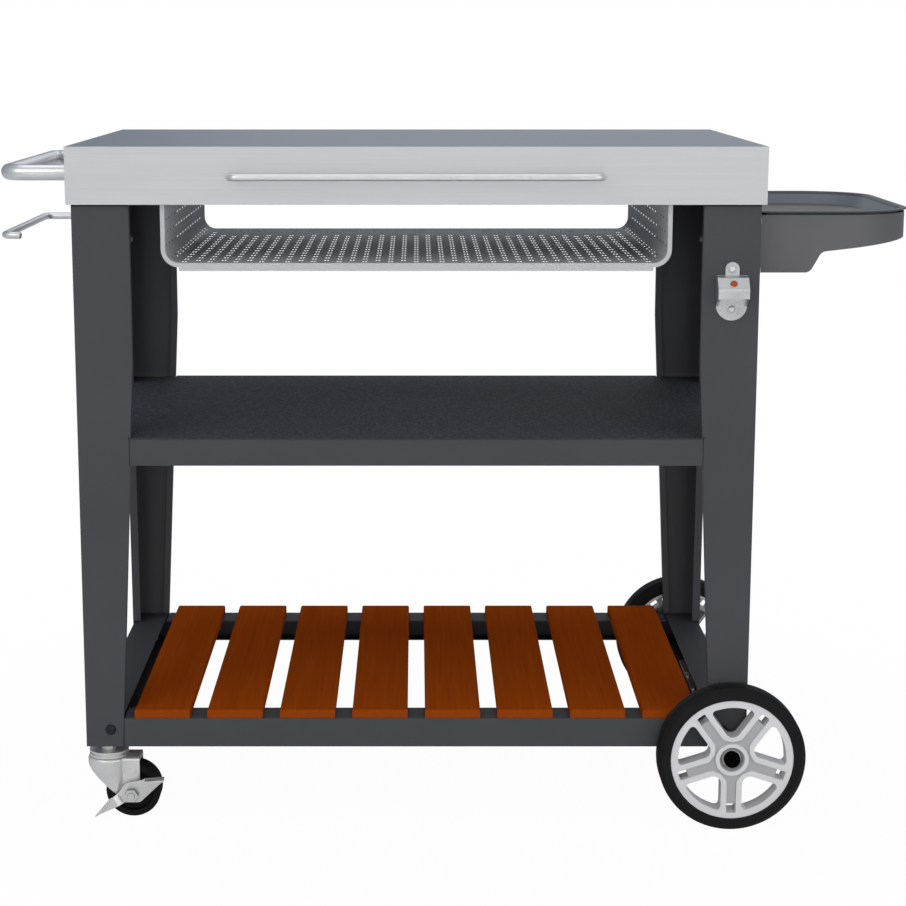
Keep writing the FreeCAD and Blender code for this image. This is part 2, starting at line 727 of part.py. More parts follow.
def hanging_tray():
    """The stainless tray under the worktop, bent to a U with ears, side returns and front lips."""
    made = body("tray_sheet_metal")
    half = "tray_width / 2"
    top, floor = "stiffener_low", "tray_floor"

    def ring(out, low, corner):
        return ([(f"centre + {half}", low[0]), (f"centre + {half}", floor), (f"centre - {half}", floor),
                 (f"centre - {half}", low[0]), (f"centre - ({half} + {out})", low[0]),
                 (f"centre - ({half} + {out})", f"{floor} - {out}"),
                 (f"centre + ({half} + {out})", f"{floor} - {out}"), (f"centre + ({half} + {out})", low[0])],
                [None, "tray_corner", "tray_corner", None, None, corner, corner, None])

    trough, trough_radii = ring("tray_sheet", (top,), "tray_corner + tray_sheet")
    pad(made, "tray_trough", "XZ_Plane", both("tray_depth / 2"), trough, trough_radii)
    for side in (-1, 1):
        ear = across(side, half, f"{half} + tray_ear")
        pad(made, f"tray_ear_{side}", "XZ_Plane", both("tray_depth / 2"),
            [(ear[0], f"{top} - tray_sheet"), (ear[1], f"{top} - tray_sheet"), (ear[1], top), (ear[0], top)])
    for end in (-1, 1):
        edge = along(end, "tray_depth / 2 - tray_sheet", "tray_depth / 2")
        rim, rim_radii = ring("tray_side_return", (f"{top} - tray_sheet",), "tray_corner + tray_side_return")
        pad(made, f"tray_return_{end}", "XZ_Plane", edge, rim, rim_radii)
        lip = across_both(f"{half} - tray_lip_inset")
        pad(made, f"tray_lip_{end}", "XZ_Plane", edge,
            [(lip[0], f"{floor} - tray_front_lip"), (lip[1], f"{floor} - tray_front_lip"),
             (lip[1], floor), (lip[0], floor)])
    holes = [hole(f"tray_hole_{side}_{end}", "screw_radius", "z", f"centre + {side} * tray_screw_x",
                  f"{end} * tray_screw_y", (f"{top} - 4", f"{top} + 1"))
             for side in (-1, 1) for end in (-1, 1)]
    keep(cut("perforated_tray_sheet", made, holes), "perforated_tray")


def towel_bar():
    """The rod across the front skirt, with both ends bent back into it."""
    made = body("towel_bar_rod")
    front, out = "-worktop_depth / 2", "-(worktop_depth / 2 + bar_stand_off)"
    ends = across_both("bar_span / 2")
    pipe(made, "towel_bar_bend", "XY_Plane", "cart_height - bar_drop",
         [(ends[0], front), (ends[0], out), (ends[1], out), (ends[1], front)],
         [None, "bar_bend", "bar_bend", None],
         "XZ_Plane", "worktop_depth / 2", (ends[0], "cart_height - bar_drop"), "bar_radius")
    keep(made, "towel_bar")


def push_handle():
    """The tube loop on the left skirt for pushing the cart."""
    made = body("push_handle_tube")
    root, out = "centre - worktop_width / 2", "centre - worktop_width / 2 - handle_reach"
    half = "handle_spread / 2"
    pipe(made, "push_handle_bend", "XY_Plane", "cart_height - handle_drop",
         [(root, f"-{half}"), (out, f"-{half}"), (out, half), (root, half)],
         [None, "handle_bend", "handle_bend", None],
         "YZ_Plane", root, (f"-{half}", "cart_height - handle_drop"), "handle_radius", "handle_wall")
    keep(made, "push_handle")


def towel_holder():
    """The open-ended rod for a paper roll and the plate that carries it."""
    face = "centre - leg_x_flat"
    plate = box("holder_plate_sheet_metal", (f"{face} - holder_plate_sheet", face),
                ("side_bolt_y - holder_plate_width / 2", "side_bolt_y + holder_plate_width / 2"),
                ("side_bolt_low - side_plate_margin", "side_bolt_high + side_plate_margin"))
    holes = [hole(f"holder_plate_hole_{level}", "bolt_radius", "x",
                  (f"{face} - holder_plate_sheet - 1", f"{face} + 1"), "side_bolt_y", f"side_bolt_{level}")
             for level in ("low", "high")]
    keep(cut("holder_plate", plate, holes), "holder_plate")
    made = body("holder_rod")
    root, out = f"{face} - holder_plate_sheet", f"{face} - holder_reach"
    pipe(made, "holder_bend", "XY_Plane", "cart_height - holder_drop",
         [(root, "side_bolt_y"), (out, "side_bolt_y"), (out, "-holder_front"),
          (f"{out} + holder_stub", "-holder_front")],
         [None, "holder_bend", "holder_bend", None],
         "YZ_Plane", root, ("side_bolt_y", "cart_height - holder_drop"), "holder_radius")
    keep(made, "paper_towel_holder")


def d_shape(x_low, x_high, half, corner):
    """A plan outline, square on the side of the legs and rounded on the outer side."""
    return ([(x_low, f"-({half})"), (x_high, f"-({half})"), (x_high, half), (x_low, half)],
            [None, corner, corner, None])


def bin_plate():
    """The flat plate that spans the two right legs and carries the side bin."""
    face = ("centre + leg_x_flat", "bin_face")
    plate = box("bin_plate_blank", face, both("side_bolt_y + bin_plate_margin"),
                ("side_bolt_low - side_plate_margin", "side_bolt_high + side_plate_margin"))
    holes = [hole(f"bin_plate_hole_{level}_{end}", "bolt_radius", "x", (f"{face[0]} - 1", f"{face[1]} + 1"),
                  f"{end} * side_bolt_y", f"side_bolt_{level}")
             for level in ("low", "high") for end in (-1, 1)]
    keep(cut("bin_plate", plate, holes), "bin_mount_plate")


def bin_shell():
    """The bin's outer shell: a D-shaped wall with a stepped lower edge and a floor for the tray."""
    x_high, half = "bin_tip - bin_rim_overhang", "bin_width / 2 - bin_rim_overhang"
    low, top = "cart_height - bin_deep_drop", "bin_shell_top"
    outside = body("bin_shell_outside")
    outline, radii = d_shape("bin_face", x_high, half, "bin_corner")
    pad(outside, "bin_shell_block", "XY_Plane", (low, top), outline, radii)
    hollow = d_shape("bin_face + bin_wall", f"{x_high} - bin_wall", f"{half} - bin_wall",
                     "bin_corner - bin_wall")
    upper = body("bin_shell_upper")
    pad(upper, "bin_shell_upper_hollow", "XY_Plane", ("bin_floor", f"{top} + 1"), *hollow)
    lower = body("bin_shell_lower")
    pad(lower, "bin_shell_lower_hollow", "XY_Plane", (f"{low} - 1", "bin_floor - bin_wall"), *hollow)
    side_view = body("bin_shell_side_view")
    pad(side_view, "bin_shell_profile", "XZ_Plane", both("bin_width"),
        [("bin_face - 1", low), ("centre + leg_x_flat + bin_deep_reach", low),
         ("centre + leg_x_flat + bin_step_reach", "cart_height - bin_step_drop"),
         ("bin_tip + 1", "cart_height - bin_tip_drop"), ("bin_tip + 1", f"{top} + 1"),
         ("bin_face - 1", f"{top} + 1")],
        [None, "bin_step_rounding", "bin_step_rounding", None, None, None])
    shell = cut("bin_shell_wall", outside, [upper, lower])
    common = doc.addObject("Part::MultiCommon", "bin_shell_trimmed")
    common.Shapes = [shell, side_view]
    keep(common, "bin_shell")


def loft(name, low, low_shape, high, high_shape):
    """A solid that runs from one rounded outline to another above it."""
    made = body(name)
    drawings = []
    for count, (level, shape) in enumerate(((low, low_shape), (high, high_shape))):
        drawing = sketch(made, f"{name}_outline_{count}", "XY_Plane", level)
        rounded(drawing, *shape)
        drawing.Visibility = False
        drawings.append(drawing)
    skin = made.newObject("PartDesign::AdditiveLoft", name + "_skin")
    skin.Profile = drawings[0]
    skin.Sections = [drawings[1]]
    return made


def bin_tray():
    """The lift-out tray with sloping walls and a flat rim that lies over the shell."""
    near, far, half = "centre + worktop_width / 2 + bin_tray_gap", "bin_tip", "bin_width / 2"
    wall = "bin_rim_overhang + bin_wall + bin_tray_gap"

    def level(inset):
        return d_shape(f"{near} + {inset} - {wall} + bin_wall", f"{far} - ({inset})", f"{half} - ({inset})",
                       f"bin_corner - ({inset}) + bin_rim_overhang")

    outside = loft("bin_tray_outside", "bin_tray_low", level(f"{wall} + bin_tray_slope"),
                   "bin_rim_top", level(wall))
    inside = loft("bin_tray_inside", "bin_tray_low + bin_rim_sheet",
                  level(f"{wall} + bin_tray_slope + bin_rim_sheet"), "bin_rim_top + 0.5",
                  level(f"{wall} + bin_rim_sheet"))
    rim = body("bin_tray_rim")
    outline, radii = d_shape(near, far, half, "bin_corner + bin_rim_overhang")
    pad(rim, "bin_tray_rim_plate", "XY_Plane", ("bin_rim_top - bin_rim_sheet", "bin_rim_top"), outline, radii)
    keep(cut("bin_tray_hollowed", join("bin_tray_blank", [outside, rim]), [inside]), "bin_tray")


def bottle_opener():
    """A cast opener on the front right leg: a back plate, a hood and two cheeks."""
    middle = "centre + leg_x_flat - opener_inset"
    back = "leg_y_flat"
    face = along(-1, back, f"{back} + opener_sheet")
    tab_z, foot_z = "opener_top - opener_tab", "opener_top - opener_height + opener_width / 2"
    hood = "opener_top - opener_hood_drop"
    plate = [
        rod("opener_tab_round", "opener_tab", "y", middle, face, tab_z),
        box("opener_neck", (f"{middle} - opener_tab", f"{middle} + opener_tab"), face,
            (f"{hood} - 1", tab_z)),
        box("opener_back", (f"{middle} - opener_width / 2", f"{middle} + opener_width / 2"), face,
            (foot_z, hood)),
        rod("opener_foot_round", "opener_width / 2", "y", middle, face, foot_z),
    ]

    def point(out, drop):
        return (f"-({back} + {out})", f"{hood} - ({drop})")

    sheet_out = "opener_hood_reach - opener_sheet"
    shape = body("opener_hood")
    pad(shape, "opener_hood_plate", "YZ_Plane",
        (f"{middle} - opener_width / 2", f"{middle} + opener_width / 2"),
        [point("1", "0"), point("opener_hood_reach * 0.45", "1"),
         point("opener_hood_reach", "opener_hood_height * 0.55"),
         point("opener_hood_reach", "opener_hood_height"), point(sheet_out, "opener_hood_height"),
         point(sheet_out, "opener_hood_height * 0.55 + 1"),
         point("opener_hood_reach * 0.45 - 1", "1 + opener_sheet"),
         point("1", "opener_sheet")],
        [None, "opener_sheet * 2.5", "opener_sheet * 2.5", None, None, "opener_sheet * 1.5",
         "opener_sheet * 1.5", None])
    cheeks = []
    for side in (-1, 1):
        cheek = body(f"opener_cheek_{side}")
        span = (f"{middle} + {side} * (opener_width / 2 - opener_cheek / 2) - opener_cheek / 2",
                f"{middle} + {side} * (opener_width / 2 - opener_cheek / 2) + opener_cheek / 2")
        pad(cheek, f"opener_cheek_plate_{side}", "YZ_Plane", span,
            [point("1", "1"), point("opener_hood_reach * 0.45", "2"),
             point("opener_hood_reach - 1", "opener_hood_height * 0.55 + 1"),
             point("opener_hood_reach - 1", "opener_hood_height - 1"),
             point("1", "opener_hood_height * 1.45")])
        cheeks.append(cheek)
    holes = [hole("opener_hole_top", "screw_radius", "y", middle, along(-1, f"{back} - 1", f"{back} + 5"),
                  tab_z),
             hole("opener_hole_foot", "screw_radius", "y", middle, along(-1, f"{back} - 1", f"{back} + 5"),
                  "opener_foot_screw")]
    keep(cut("opener", join("opener_cast", plate + [shape] + cheeks), holes), "bottle_opener")



def revolve(owner, name, points, radii=None):
    """A solid turned about its body's Z axis from an outline of (radius, height) points."""
    drawing = sketch(owner, name + "_outline", "XZ_Plane")
    rounded(drawing, points, radii or plain(points))
    drawing.Visibility = False
    turned = owner.newObject("PartDesign::Revolution", name)
    turned.Profile = drawing
    turned.ReferenceAxis = (plane(owner, "Z_Axis"), [""])
    turned.Angle = 360
    return turned


def around(owner, feature, count):
    """Repeats a feature about the body's Z axis."""
    ring = owner.newObject("PartDesign::PolarPattern", feature.Name + "_ring")
    ring.Originals = [feature]
    ring.Axis = (plane(owner, "Z_Axis"), [""])
    ring.Angle = 360
    ring.setExpression("Occurrences", tied(count))
    feature.Visibility = False
    owner.Tip = ring
    return ring


def pocket(owner, name, level, points, radii=None, depth=None, upward=False):
    """A hole cut down from a level, or upward, through everything or to a depth."""
    drawing = sketch(owner, name + "_outline", "XY_Plane", level)
    rounded(drawing, points, radii or plain(points))
    drawing.Visibility = False
    opening = owner.newObject("PartDesign::Pocket", name)
    opening.Profile = drawing
    opening.Reversed = upward
    if depth is None:
        opening.Type = 1
    else:
        opening.setExpression("Length", tied(depth))
    return opening


WHEEL_TURN = {
    -1: FreeCAD.Rotation(FreeCAD.Vector(1, 0, 0), 90),
    1: FreeCAD.Rotation(FreeCAD.Vector(0, 0, 1), 180).multiply(FreeCAD.Rotation(FreeCAD.Vector(1, 0, 0), 90)),
}


def wheel_place(thing, end):
    """Stands a turned piece on the axle at the front, -1, or the back, 1, outer side outward."""
    at(thing, "axle_x", f"{end} * wheel_plane", "wheel_radius", WHEEL_TURN[end])


def tyre(name, end):
    """A solid rubber tyre with ribs round its tread."""
    made = body(name + "_rubber")
    half, seat = "tyre_width / 2", "rim_radius + joint_line / 2"
    inner = [("tyre_bead", "-bead_half"), (seat, "-bead_half"),
             (seat, f"-({half})"), ("wheel_radius - tyre_shoulder", f"-({half})"),
             ("wheel_radius", f"-({half} - tyre_shoulder)")]
    ribs = []
    for step in range(tread_grooves):
        middle = f"({step} - {(tread_grooves - 1) / 2}) * tread_groove_pitch"
        near, far = f"{middle} - tyre_rib / 2", f"{middle} + tyre_rib / 2"
        ribs += [("wheel_radius", near), ("wheel_radius - tyre_rib", near),
                 ("wheel_radius - tyre_rib", far), ("wheel_radius", far)]
    outer = [(radius, f"-({height})") for radius, height in reversed(inner)]
    revolve(made, name + "_section", inner + ribs + outer)
    wheel_place(made, end)
    keep(made, name)


def rim(name, end):
    """A five-spoke rim with a raised edge round each window, and slots at the spokes' ends."""
    made = body(name + "_cast")
    revolve(made, name + "_turned", [
        ("bush_radius", "-hub_half"), ("hub_radius", "-hub_half"), ("hub_radius", "-spoke_back"),
        ("rim_barrel", "-spoke_back"), ("rim_barrel", "-rim_width / 2"), ("tyre_bead", "-rim_width / 2"),
        ("tyre_bead", "bead_half + race_gap"), ("rim_radius", "bead_half + race_gap"),
        ("rim_radius", "rim_face"), ("hub_radius * 0.9", "rim_face"), ("hub_radius * 0.9", "hub_floor"),
        ("bush_radius", "hub_floor")],
        [None] * 8 + ["rim_lip / 4"] + [None] * 3)
    lean = "(180 deg / spoke_count)"

    def outline(edge, outer, root):
        """A window's outline, its sides parallel to the spokes' middles at the distance edge."""
        turn = f"({lean} - asin(({edge}) / ({outer})))"
        return ([("0", f"({edge}) / sin({lean})"), (f"({outer}) * sin({turn})", f"({outer}) * cos({turn})"),
                 ("0", f"({outer}) * 1.015"), (f"-({outer}) * sin({turn})", f"({outer}) * cos({turn})")],
                [root, "window_corner", f"({outer}) * 0.9", "window_corner"])

    valley_half = "spoke_width / 2 - spoke_ridge"
    valley = pocket(made, name + "_valley", "rim_face", [
        (f"-({valley_half})", "-slot_outer"), (valley_half, "-slot_outer"),
        (valley_half, "-hub_radius - spoke_ridge"),
        ("hub_radius * 0.75", "-hub_radius * 0.8"), ("0", "hub_radius * 0.3"),
        ("-hub_radius * 0.75", "-hub_radius * 0.8"),
        (f"-({valley_half})", "-hub_radius - spoke_ridge")],
        ["slot_width / 6", "slot_width / 6", "window_root", None, None, None, "window_root"],
        depth="valley_drop")
    around(made, valley, "spoke_count")
    revolve(made, name + "_hub_ring", [
        ("hub_recess_floor", "hub_floor"), ("hub_radius", "hub_floor"), ("hub_radius", "hub_half"),
        ("hub_recess_radius", "hub_half")])
    hollow = pocket(made, name + "_hollow", "-spoke_back", [
        ("-(spoke_width / 2 - spoke_hollow_sheet)", "-slot_inner + spoke_hollow_sheet"),
        ("spoke_width / 2 - spoke_hollow_sheet", "-slot_inner + spoke_hollow_sheet"),
        ("spoke_width / 2 - spoke_hollow_sheet", "-hub_radius - spoke_hollow_sheet"),
        ("-(spoke_width / 2 - spoke_hollow_sheet)", "-hub_radius - spoke_hollow_sheet")],
        depth="spoke_back + valley - spoke_hollow_sheet", upward=True)
    around(made, hollow, "spoke_count")
    window = pocket(made, name + "_window", "hub_half + 1",
                    *outline("spoke_width / 2", "window_outer", "window_root"))
    around(made, window, "spoke_count")
    slot = pocket(made, name + "_slot", "hub_half + 1",
                  [("-slot_width / 2", "-slot_outer"), ("slot_width / 2", "-slot_outer"),
                   ("slot_width / 2", "-slot_inner"), ("-slot_width / 2", "-slot_inner")],
                  ["slot_width / 6", "slot_width / 6", None, None])
    around(made, slot, "spoke_count")
    wheel_place(made, end)
    keep(made, name)


def bush(name, end):
    """A plastic sleeve in the hub that runs on the axle."""
    made = body(name + "_sleeve")
    revolve(made, name + "_section", [("wheel_bore", "-hub_half"), ("bush_radius", "-hub_half"),
                                      ("bush_radius", "hub_floor"), ("wheel_bore", "hub_floor")])
    wheel_place(made, end)
    keep(made, name)


def axle():
    """The steel rod under the right bottom rail, its end caps and its inner washers."""
    keep(rod("axle_rod", "axle_radius", "y", "axle_x", both("axle_end"), "wheel_radius"), "axle")
    caps, washers = [], []
    for end in (-1, 1):
        cap = rod(f"axle_cap_{end}", "axle_cap_radius", "y", "axle_x",
                  along(end, "wheel_plane + hub_floor + race_gap", "axle_cap_end"), "wheel_radius")
        inside = rod(f"axle_cap_hole_{end}", "wheel_bore", "y", "axle_x",
                     along(end, "wheel_plane", "axle_end + race_gap"), "wheel_radius")
        caps.append(cut(f"axle_cap_cup_{end}", cap, [inside]))
        span = along(end, "leg_y_flat", "wheel_plane - hub_half - race_gap")
        ring = rod(f"axle_washer_{end}", "axle_washer_radius", "y", "axle_x", span, "wheel_radius")
        bore = rod(f"axle_washer_hole_{end}", "wheel_bore", "y", "axle_x", both("wheel_plane"),
                   "wheel_radius")
        washers.append(cut(f"axle_washer_ring_{end}", ring, [bore]))
    group("axle_caps", caps)
    group("axle_washers", washers)


def group(label, pieces):
    """Several alike pieces in one file, as separate solids."""
    whole = doc.addObject("Part::Compound", label + "_group")
    whole.Links = pieces
    return keep(whole, label)


def axle_bracket(name, end):
    """A hat-shaped saddle that holds the axle up against the bottom rail, and its strap above the rail."""
    deep = along(end, "bracket_start", "bracket_start + bracket_length")
    floor = "wheel_radius - axle_radius - race_gap"
    feet = box(name + "_feet", ("axle_x - bracket_width / 2", "axle_x + bracket_width / 2"), deep,
               ("leg_foot - bracket_sheet", "leg_foot"))
    half = "bracket_hollow / 2 + bracket_sheet"
    saddle = box(name + "_saddle", (f"axle_x - ({half})", f"axle_x + ({half})"), deep,
                 (f"{floor} - bracket_sheet", "leg_foot"))
    hollow = box(name + "_hollow", ("axle_x - bracket_hollow / 2", "axle_x + bracket_hollow / 2"),
                 both("wheel_plane"), (floor, "leg_foot + 1"))
    holes = [hole(f"{name}_hole_{foot}", "screw_radius", "z", f"axle_x + {foot} * bracket_foot_offset",
                  f"{end} * bracket_screw_y",
                  ("leg_foot - bracket_sheet - 1", "leg_foot + 1")) for foot in (-1, 1)]
    under = cut(name + "_under", join(name + "_sheet", [feet, saddle]), [hollow] + holes)
    strap_half = "bracket_width / 2 - rail_sheet - joint_line"
    lying = ("leg_foot + rail_sheet", "leg_foot + rail_sheet + bracket_sheet")
    strap = join(name + "_strap", [
        box(name + "_strap_flat", (f"axle_x - ({strap_half})", f"axle_x + {strap_half}"), deep, lying),
        box(name + "_strap_step", (f"axle_x - ({strap_half})", f"axle_x + {strap_half}"),
            along(end, "bracket_start + bracket_step", "bracket_start + bracket_length"),
            (lying[1], f"{lying[1]} + bracket_sheet"))])
    strap_holes = [hole(f"{name}_strap_hole_{foot}", "screw_radius", "z",
                        f"axle_x + {foot} * bracket_foot_offset",
                        f"{end} * bracket_screw_y",
                        (f"{lying[0]} - 1", f"{lying[1]} + 1")) for foot in (-1, 1)]
    group(name, [under, cut(name + "_over", strap, strap_holes)])


def caster(name, end):
    """A swivel caster: race and stem, fork, wheel, axle bolt with its nut, and brake lever."""
    y = f"{end} * caster_y"

    def side(near, far):
        span = along(end, near, far)
        return (f"{y} + ({span[0]})", f"{y} + ({span[1]})")

    def ahead(distance):
        return f"caster_x + {distance}"

    ring_top, plate_low = "race_low + race_ring", "leg_foot - stem_boss_height - race_plate"
    race = join(f"{name}_race_turned", [
        rod(f"{name}_race_ring", "race_radius", "z", "caster_x", y, ("race_low", ring_top)),
        rod(f"{name}_race_neck", "race_neck_radius", "z", "caster_x", y, ("race_low", plate_low)),
        rod(f"{name}_race_plate", "race_radius", "z", "caster_x", y,
            (plate_low, f"{plate_low} + race_plate")),
        rod(f"{name}_stem_boss", "stem_boss_radius", "z", "caster_x", y, (plate_low, "leg_foot")),
        rod(f"{name}_stem", "stem_radius", "z", "caster_x", y,
            ("leg_foot - 1", "leg_foot + rail_sheet + stem_reach")),
        prism(f"{name}_stem_nut", "caster_nut_flats", "z", "caster_x", y,
              ("leg_foot + rail_sheet", "leg_foot + rail_sheet + caster_nut_height")),
    ])
    keep(race, f"{name}_race")

    foot = "(caster_wheel_radius - fork_foot)"
    under, lid = "crown_top - fork_crown_height", "crown_top - fork_shoulder"
    outline = body(f"{name}_fork_outline")
    pad(outline, f"{name}_fork_side", "XZ_Plane", side("-fork_crown_radius", "fork_crown_radius"),
        [(ahead("-fork_crown_radius"), lid), (ahead("-fork_crown_radius"), f"{under} - fork_crown_height"),
         (ahead("caster_trail - fork_foot * 0.8"), foot), (ahead("fork_front"), foot),
         (ahead("fork_front"), lid)],
        [None, "fork_crown_height * 2", "fork_foot * 0.7", "fork_foot * 0.5", None])
    turn_end = "sqrt(fork_crown_radius ^ 2 - fork_half ^ 2) - fork_sheet"
    cheeks = [box(f"{name}_cheek_{tag}", (ahead(turn_end), ahead("fork_front")), side(*span), (foot, lid))
              for tag, span in (("near", ("fork_half - fork_sheet", "fork_half")),
                                ("far", ("-fork_half", "fork_sheet - fork_half")))]
    drum = rod(f"{name}_shell_outside", "fork_crown_radius", "z", "caster_x", y, (foot, lid))
    shell = cut(f"{name}_shell", drum, [
        rod(f"{name}_shell_inside", "fork_crown_radius - fork_sheet", "z", "caster_x", y, ("0", "crown_top")),
        box(f"{name}_shell_well", ("caster_x", ahead("fork_front")),
            side("fork_sheet - fork_half", "fork_half - fork_sheet"), ("0", "crown_top"))])
    sides = doc.addObject("Part::MultiCommon", f"{name}_fork_sides")
    sides.Shapes = [outline, join(f"{name}_fork_walls", cheeks + [shell])]
    middle = "fork_front - fork_sheet - fork_mark_width / 2"
    face = side("fork_half - fork_sheet / 2", "fork_half + fork_mark_depth")
    mark_foot, mark_top = "caster_wheel_radius + fork_foot * 0.7", "crown_top - fork_crown_height * 3"
    raised = [
        box(f"{name}_mark_wide", (ahead(f"{middle} - fork_mark_width / 2"),
                                  ahead(f"{middle} + fork_mark_width / 2")),
            face, (mark_foot, f"{mark_top} - fork_mark_height")),
        box(f"{name}_mark_neck", (ahead(f"{middle} - fork_mark_neck / 2"),
                                  ahead(f"{middle} + fork_mark_neck / 2")),
            face, (mark_foot, mark_top)),
        rod(f"{name}_spacer", "caster_nut_flats / 2", "y", ahead("caster_trail"),
            side("fork_half - fork_sheet / 2", "lever_near - race_gap"), "caster_wheel_radius")]
    crown = body(f"{name}_crown")
    revolve(crown, f"{name}_crown_section",
            [("0", "-fork_crown_height"), ("fork_crown_radius", "-fork_crown_height"),
             ("fork_crown_radius", "0"),
             ("0", "0")], [None, None, "fork_shoulder", None])
    at(crown, "caster_x", y, "crown_top")
    deck, (low, high) = body(f"{name}_crown_deck"), side("-fork_half", "fork_half")
    pad(deck, f"{name}_crown_folded", "YZ_Plane", ("caster_x", ahead("fork_front")),
        [(low, under), (high, under), (high, "crown_top"), (low, "crown_top")],
        [None, None, "fork_shoulder", "fork_shoulder"])
    bolt_hole = rod(f"{name}_fork_hole", "caster_bore", "y", ahead("caster_trail"),
                    side("-fork_half - 1", "lever_near"), "caster_wheel_radius")
    bent = join(f"{name}_fork_sheet", raised + [crown, deck, sides])
    keep(cut(f"{name}_fork_bent", bent, [bolt_hole]), f"{name}_fork")

    roller = body(f"{name}_wheel_moulded")
    hub_side, web = "caster_wheel_width / 2 + caster_side_gap - race_gap", "caster_wheel_width / 4"
    half = "caster_wheel_width / 2"
    section = [("caster_bore", hub_side), ("caster_hub_radius", hub_side), ("caster_hub_radius", web),
               ("caster_wheel_radius - caster_tread", web), ("caster_wheel_radius - caster_tread", half),
               ("caster_wheel_radius - caster_tread_crown", half),
               ("caster_wheel_radius", f"{half} - caster_tread_crown")]
    mirrored = [(radius, f"-({height})") for radius, height in reversed(section)]
    revolve(roller, f"{name}_wheel_section", section + mirrored)
    at(roller, ahead("caster_trail"), y, "caster_wheel_radius", WHEEL_TURN[end])
    keep(roller, f"{name}_wheel")

    pin = join(f"{name}_bolt_turned", [
        rod(f"{name}_bolt_shank", "caster_bolt_radius", "y", ahead("caster_trail"),
            side("-fork_half - 1", "nut_near + caster_nut_height + bolt_stick_out / 2"),
            "caster_wheel_radius"),
        prism(f"{name}_bolt_head", "caster_nut_flats", "y", ahead("caster_trail"),
              side("-fork_half - caster_nut_height", "-fork_half"), "caster_wheel_radius"),
        prism(f"{name}_bolt_nut", "caster_nut_flats", "y", ahead("caster_trail"),
              side("nut_near", "nut_near + caster_nut_height"), "caster_wheel_radius"),
    ])
    keep(pin, f"{name}_axle_bolt")

    def spot_at(x, z):
        return (ahead(f"caster_trail + ({x})"), f"caster_wheel_radius + ({z})")

    plate = body(f"{name}_lever_plate")
    pad(plate, f"{name}_lever_blade", "XZ_Plane",
        side("lever_near - 1", "lever_far + lever_joggle + lever_sheet"),
        [spot_at("-release_reach", "-release_drop"), spot_at("-lever_hub", "-lever_hub * 1.15"),
         spot_at("lever_hub * 1.1", "-lever_hub * 1.15"), spot_at("pedal_reach * 0.96", "pedal_rise * 0.77"),
         spot_at("pedal_reach", "pedal_rise"), spot_at("pedal_reach * 0.4", "pedal_rise * 0.91"),
         spot_at("pedal_reach * 0.3", "pedal_rise * 0.8"), spot_at("-lever_hub * 0.9", "pedal_rise * 0.61"),
         spot_at("-lever_hub * 1.9", "lever_hub * 0.1"), spot_at("-lever_hub * 3", "-lever_hub * 0.5")],
        [None, "lever_hub * 0.3", "lever_hub * 0.8", None, None, None, "lever_hub * 0.5", "lever_hub * 1.2",
         "lever_hub * 0.6", "lever_hub * 0.6"])
    strip = body(f"{name}_lever_strip")
    inner, outer = f"{end} * lever_near", f"{end} * lever_far"
    bent = f"{end} * lever_joggle"
    pad(strip, f"{name}_lever_bent", "XY_Plane", ("-release_reach * 2", "release_reach * 2"),
        [("pedal_reach * 2", inner), ("pedal_reach * 2", outer), ("-lever_hub * 1.5", outer),
         ("-lever_hub * 2.3", f"{outer} + {bent}"), ("-release_reach * 2", f"{outer} + {bent}"),
         ("-release_reach * 2", f"{inner} + {bent}"), ("-lever_hub * 2.3", f"{inner} + {bent}"),
         ("-lever_hub * 1.5", inner)])
    at(strip, ahead("caster_trail"), y, "caster_wheel_radius", FreeCAD.Rotation(FreeCAD.Vector(0, 1, 0), -29))
    ridge = body(f"{name}_lever_ridge")
    crest = "lever_far + lever_joggle"
    pad(ridge, f"{name}_lever_edge", "XZ_Plane", side(f"{crest} - 0.5", f"{crest} + lever_sheet"),
        [spot_at("-release_reach", "-release_drop"), spot_at("-lever_hub * 3.4", "-lever_hub"),
         spot_at("-lever_hub * 3.4 + lever_sheet * 0.65", "-lever_hub - lever_sheet / 2"),
         spot_at("-release_reach + lever_sheet * 1.4", "-release_drop + lever_sheet * 0.6")])
    sheet_metal = doc.addObject("Part::MultiCommon", f"{name}_lever_sheet")
    sheet_metal.Shapes = [plate, join(f"{name}_lever_formed", [strip, ridge])]
    pedal = body(f"{name}_lever_pedal_flange")
    pad(pedal, f"{name}_lever_pedal", "XZ_Plane", side("lever_far - 0.5", "lever_far + pedal_width"),
        [spot_at("pedal_reach - pedal_length", "pedal_rise * 0.91 - lever_sheet"),
         spot_at("pedal_reach", "pedal_rise - lever_sheet"), spot_at("pedal_reach", "pedal_rise"),
         spot_at("pedal_reach - pedal_length", "pedal_rise * 0.91")])
    pivot = rod(f"{name}_lever_hole", "caster_bore", "y", ahead("caster_trail"),
                side("lever_near - 1", "lever_far + 1"), "caster_wheel_radius")
    bar = join(f"{name}_lever_bar", [sheet_metal, pedal])
    keep(cut(f"{name}_lever_cut", bar, [pivot]), f"{name}_brake_lever")


def prism(name, flats, way, x, y, z):
    """A hexagon bar along an axis, sized across its flats."""
    bar = doc.addObject("Part::Prism", name)
    bar.Polygon = 6
    ends = {"x": x, "y": y, "z": z}
    low, high = ends[way]
    ends[way] = low
    bar.setExpression("Circumradius", tied(f"{flats} / 2 / cos(30)"))
    bar.setExpression("Height", tied(f"({high}) - ({low})"))
    return at(bar, ends["x"], ends["y"], ends["z"], TURNS[way])


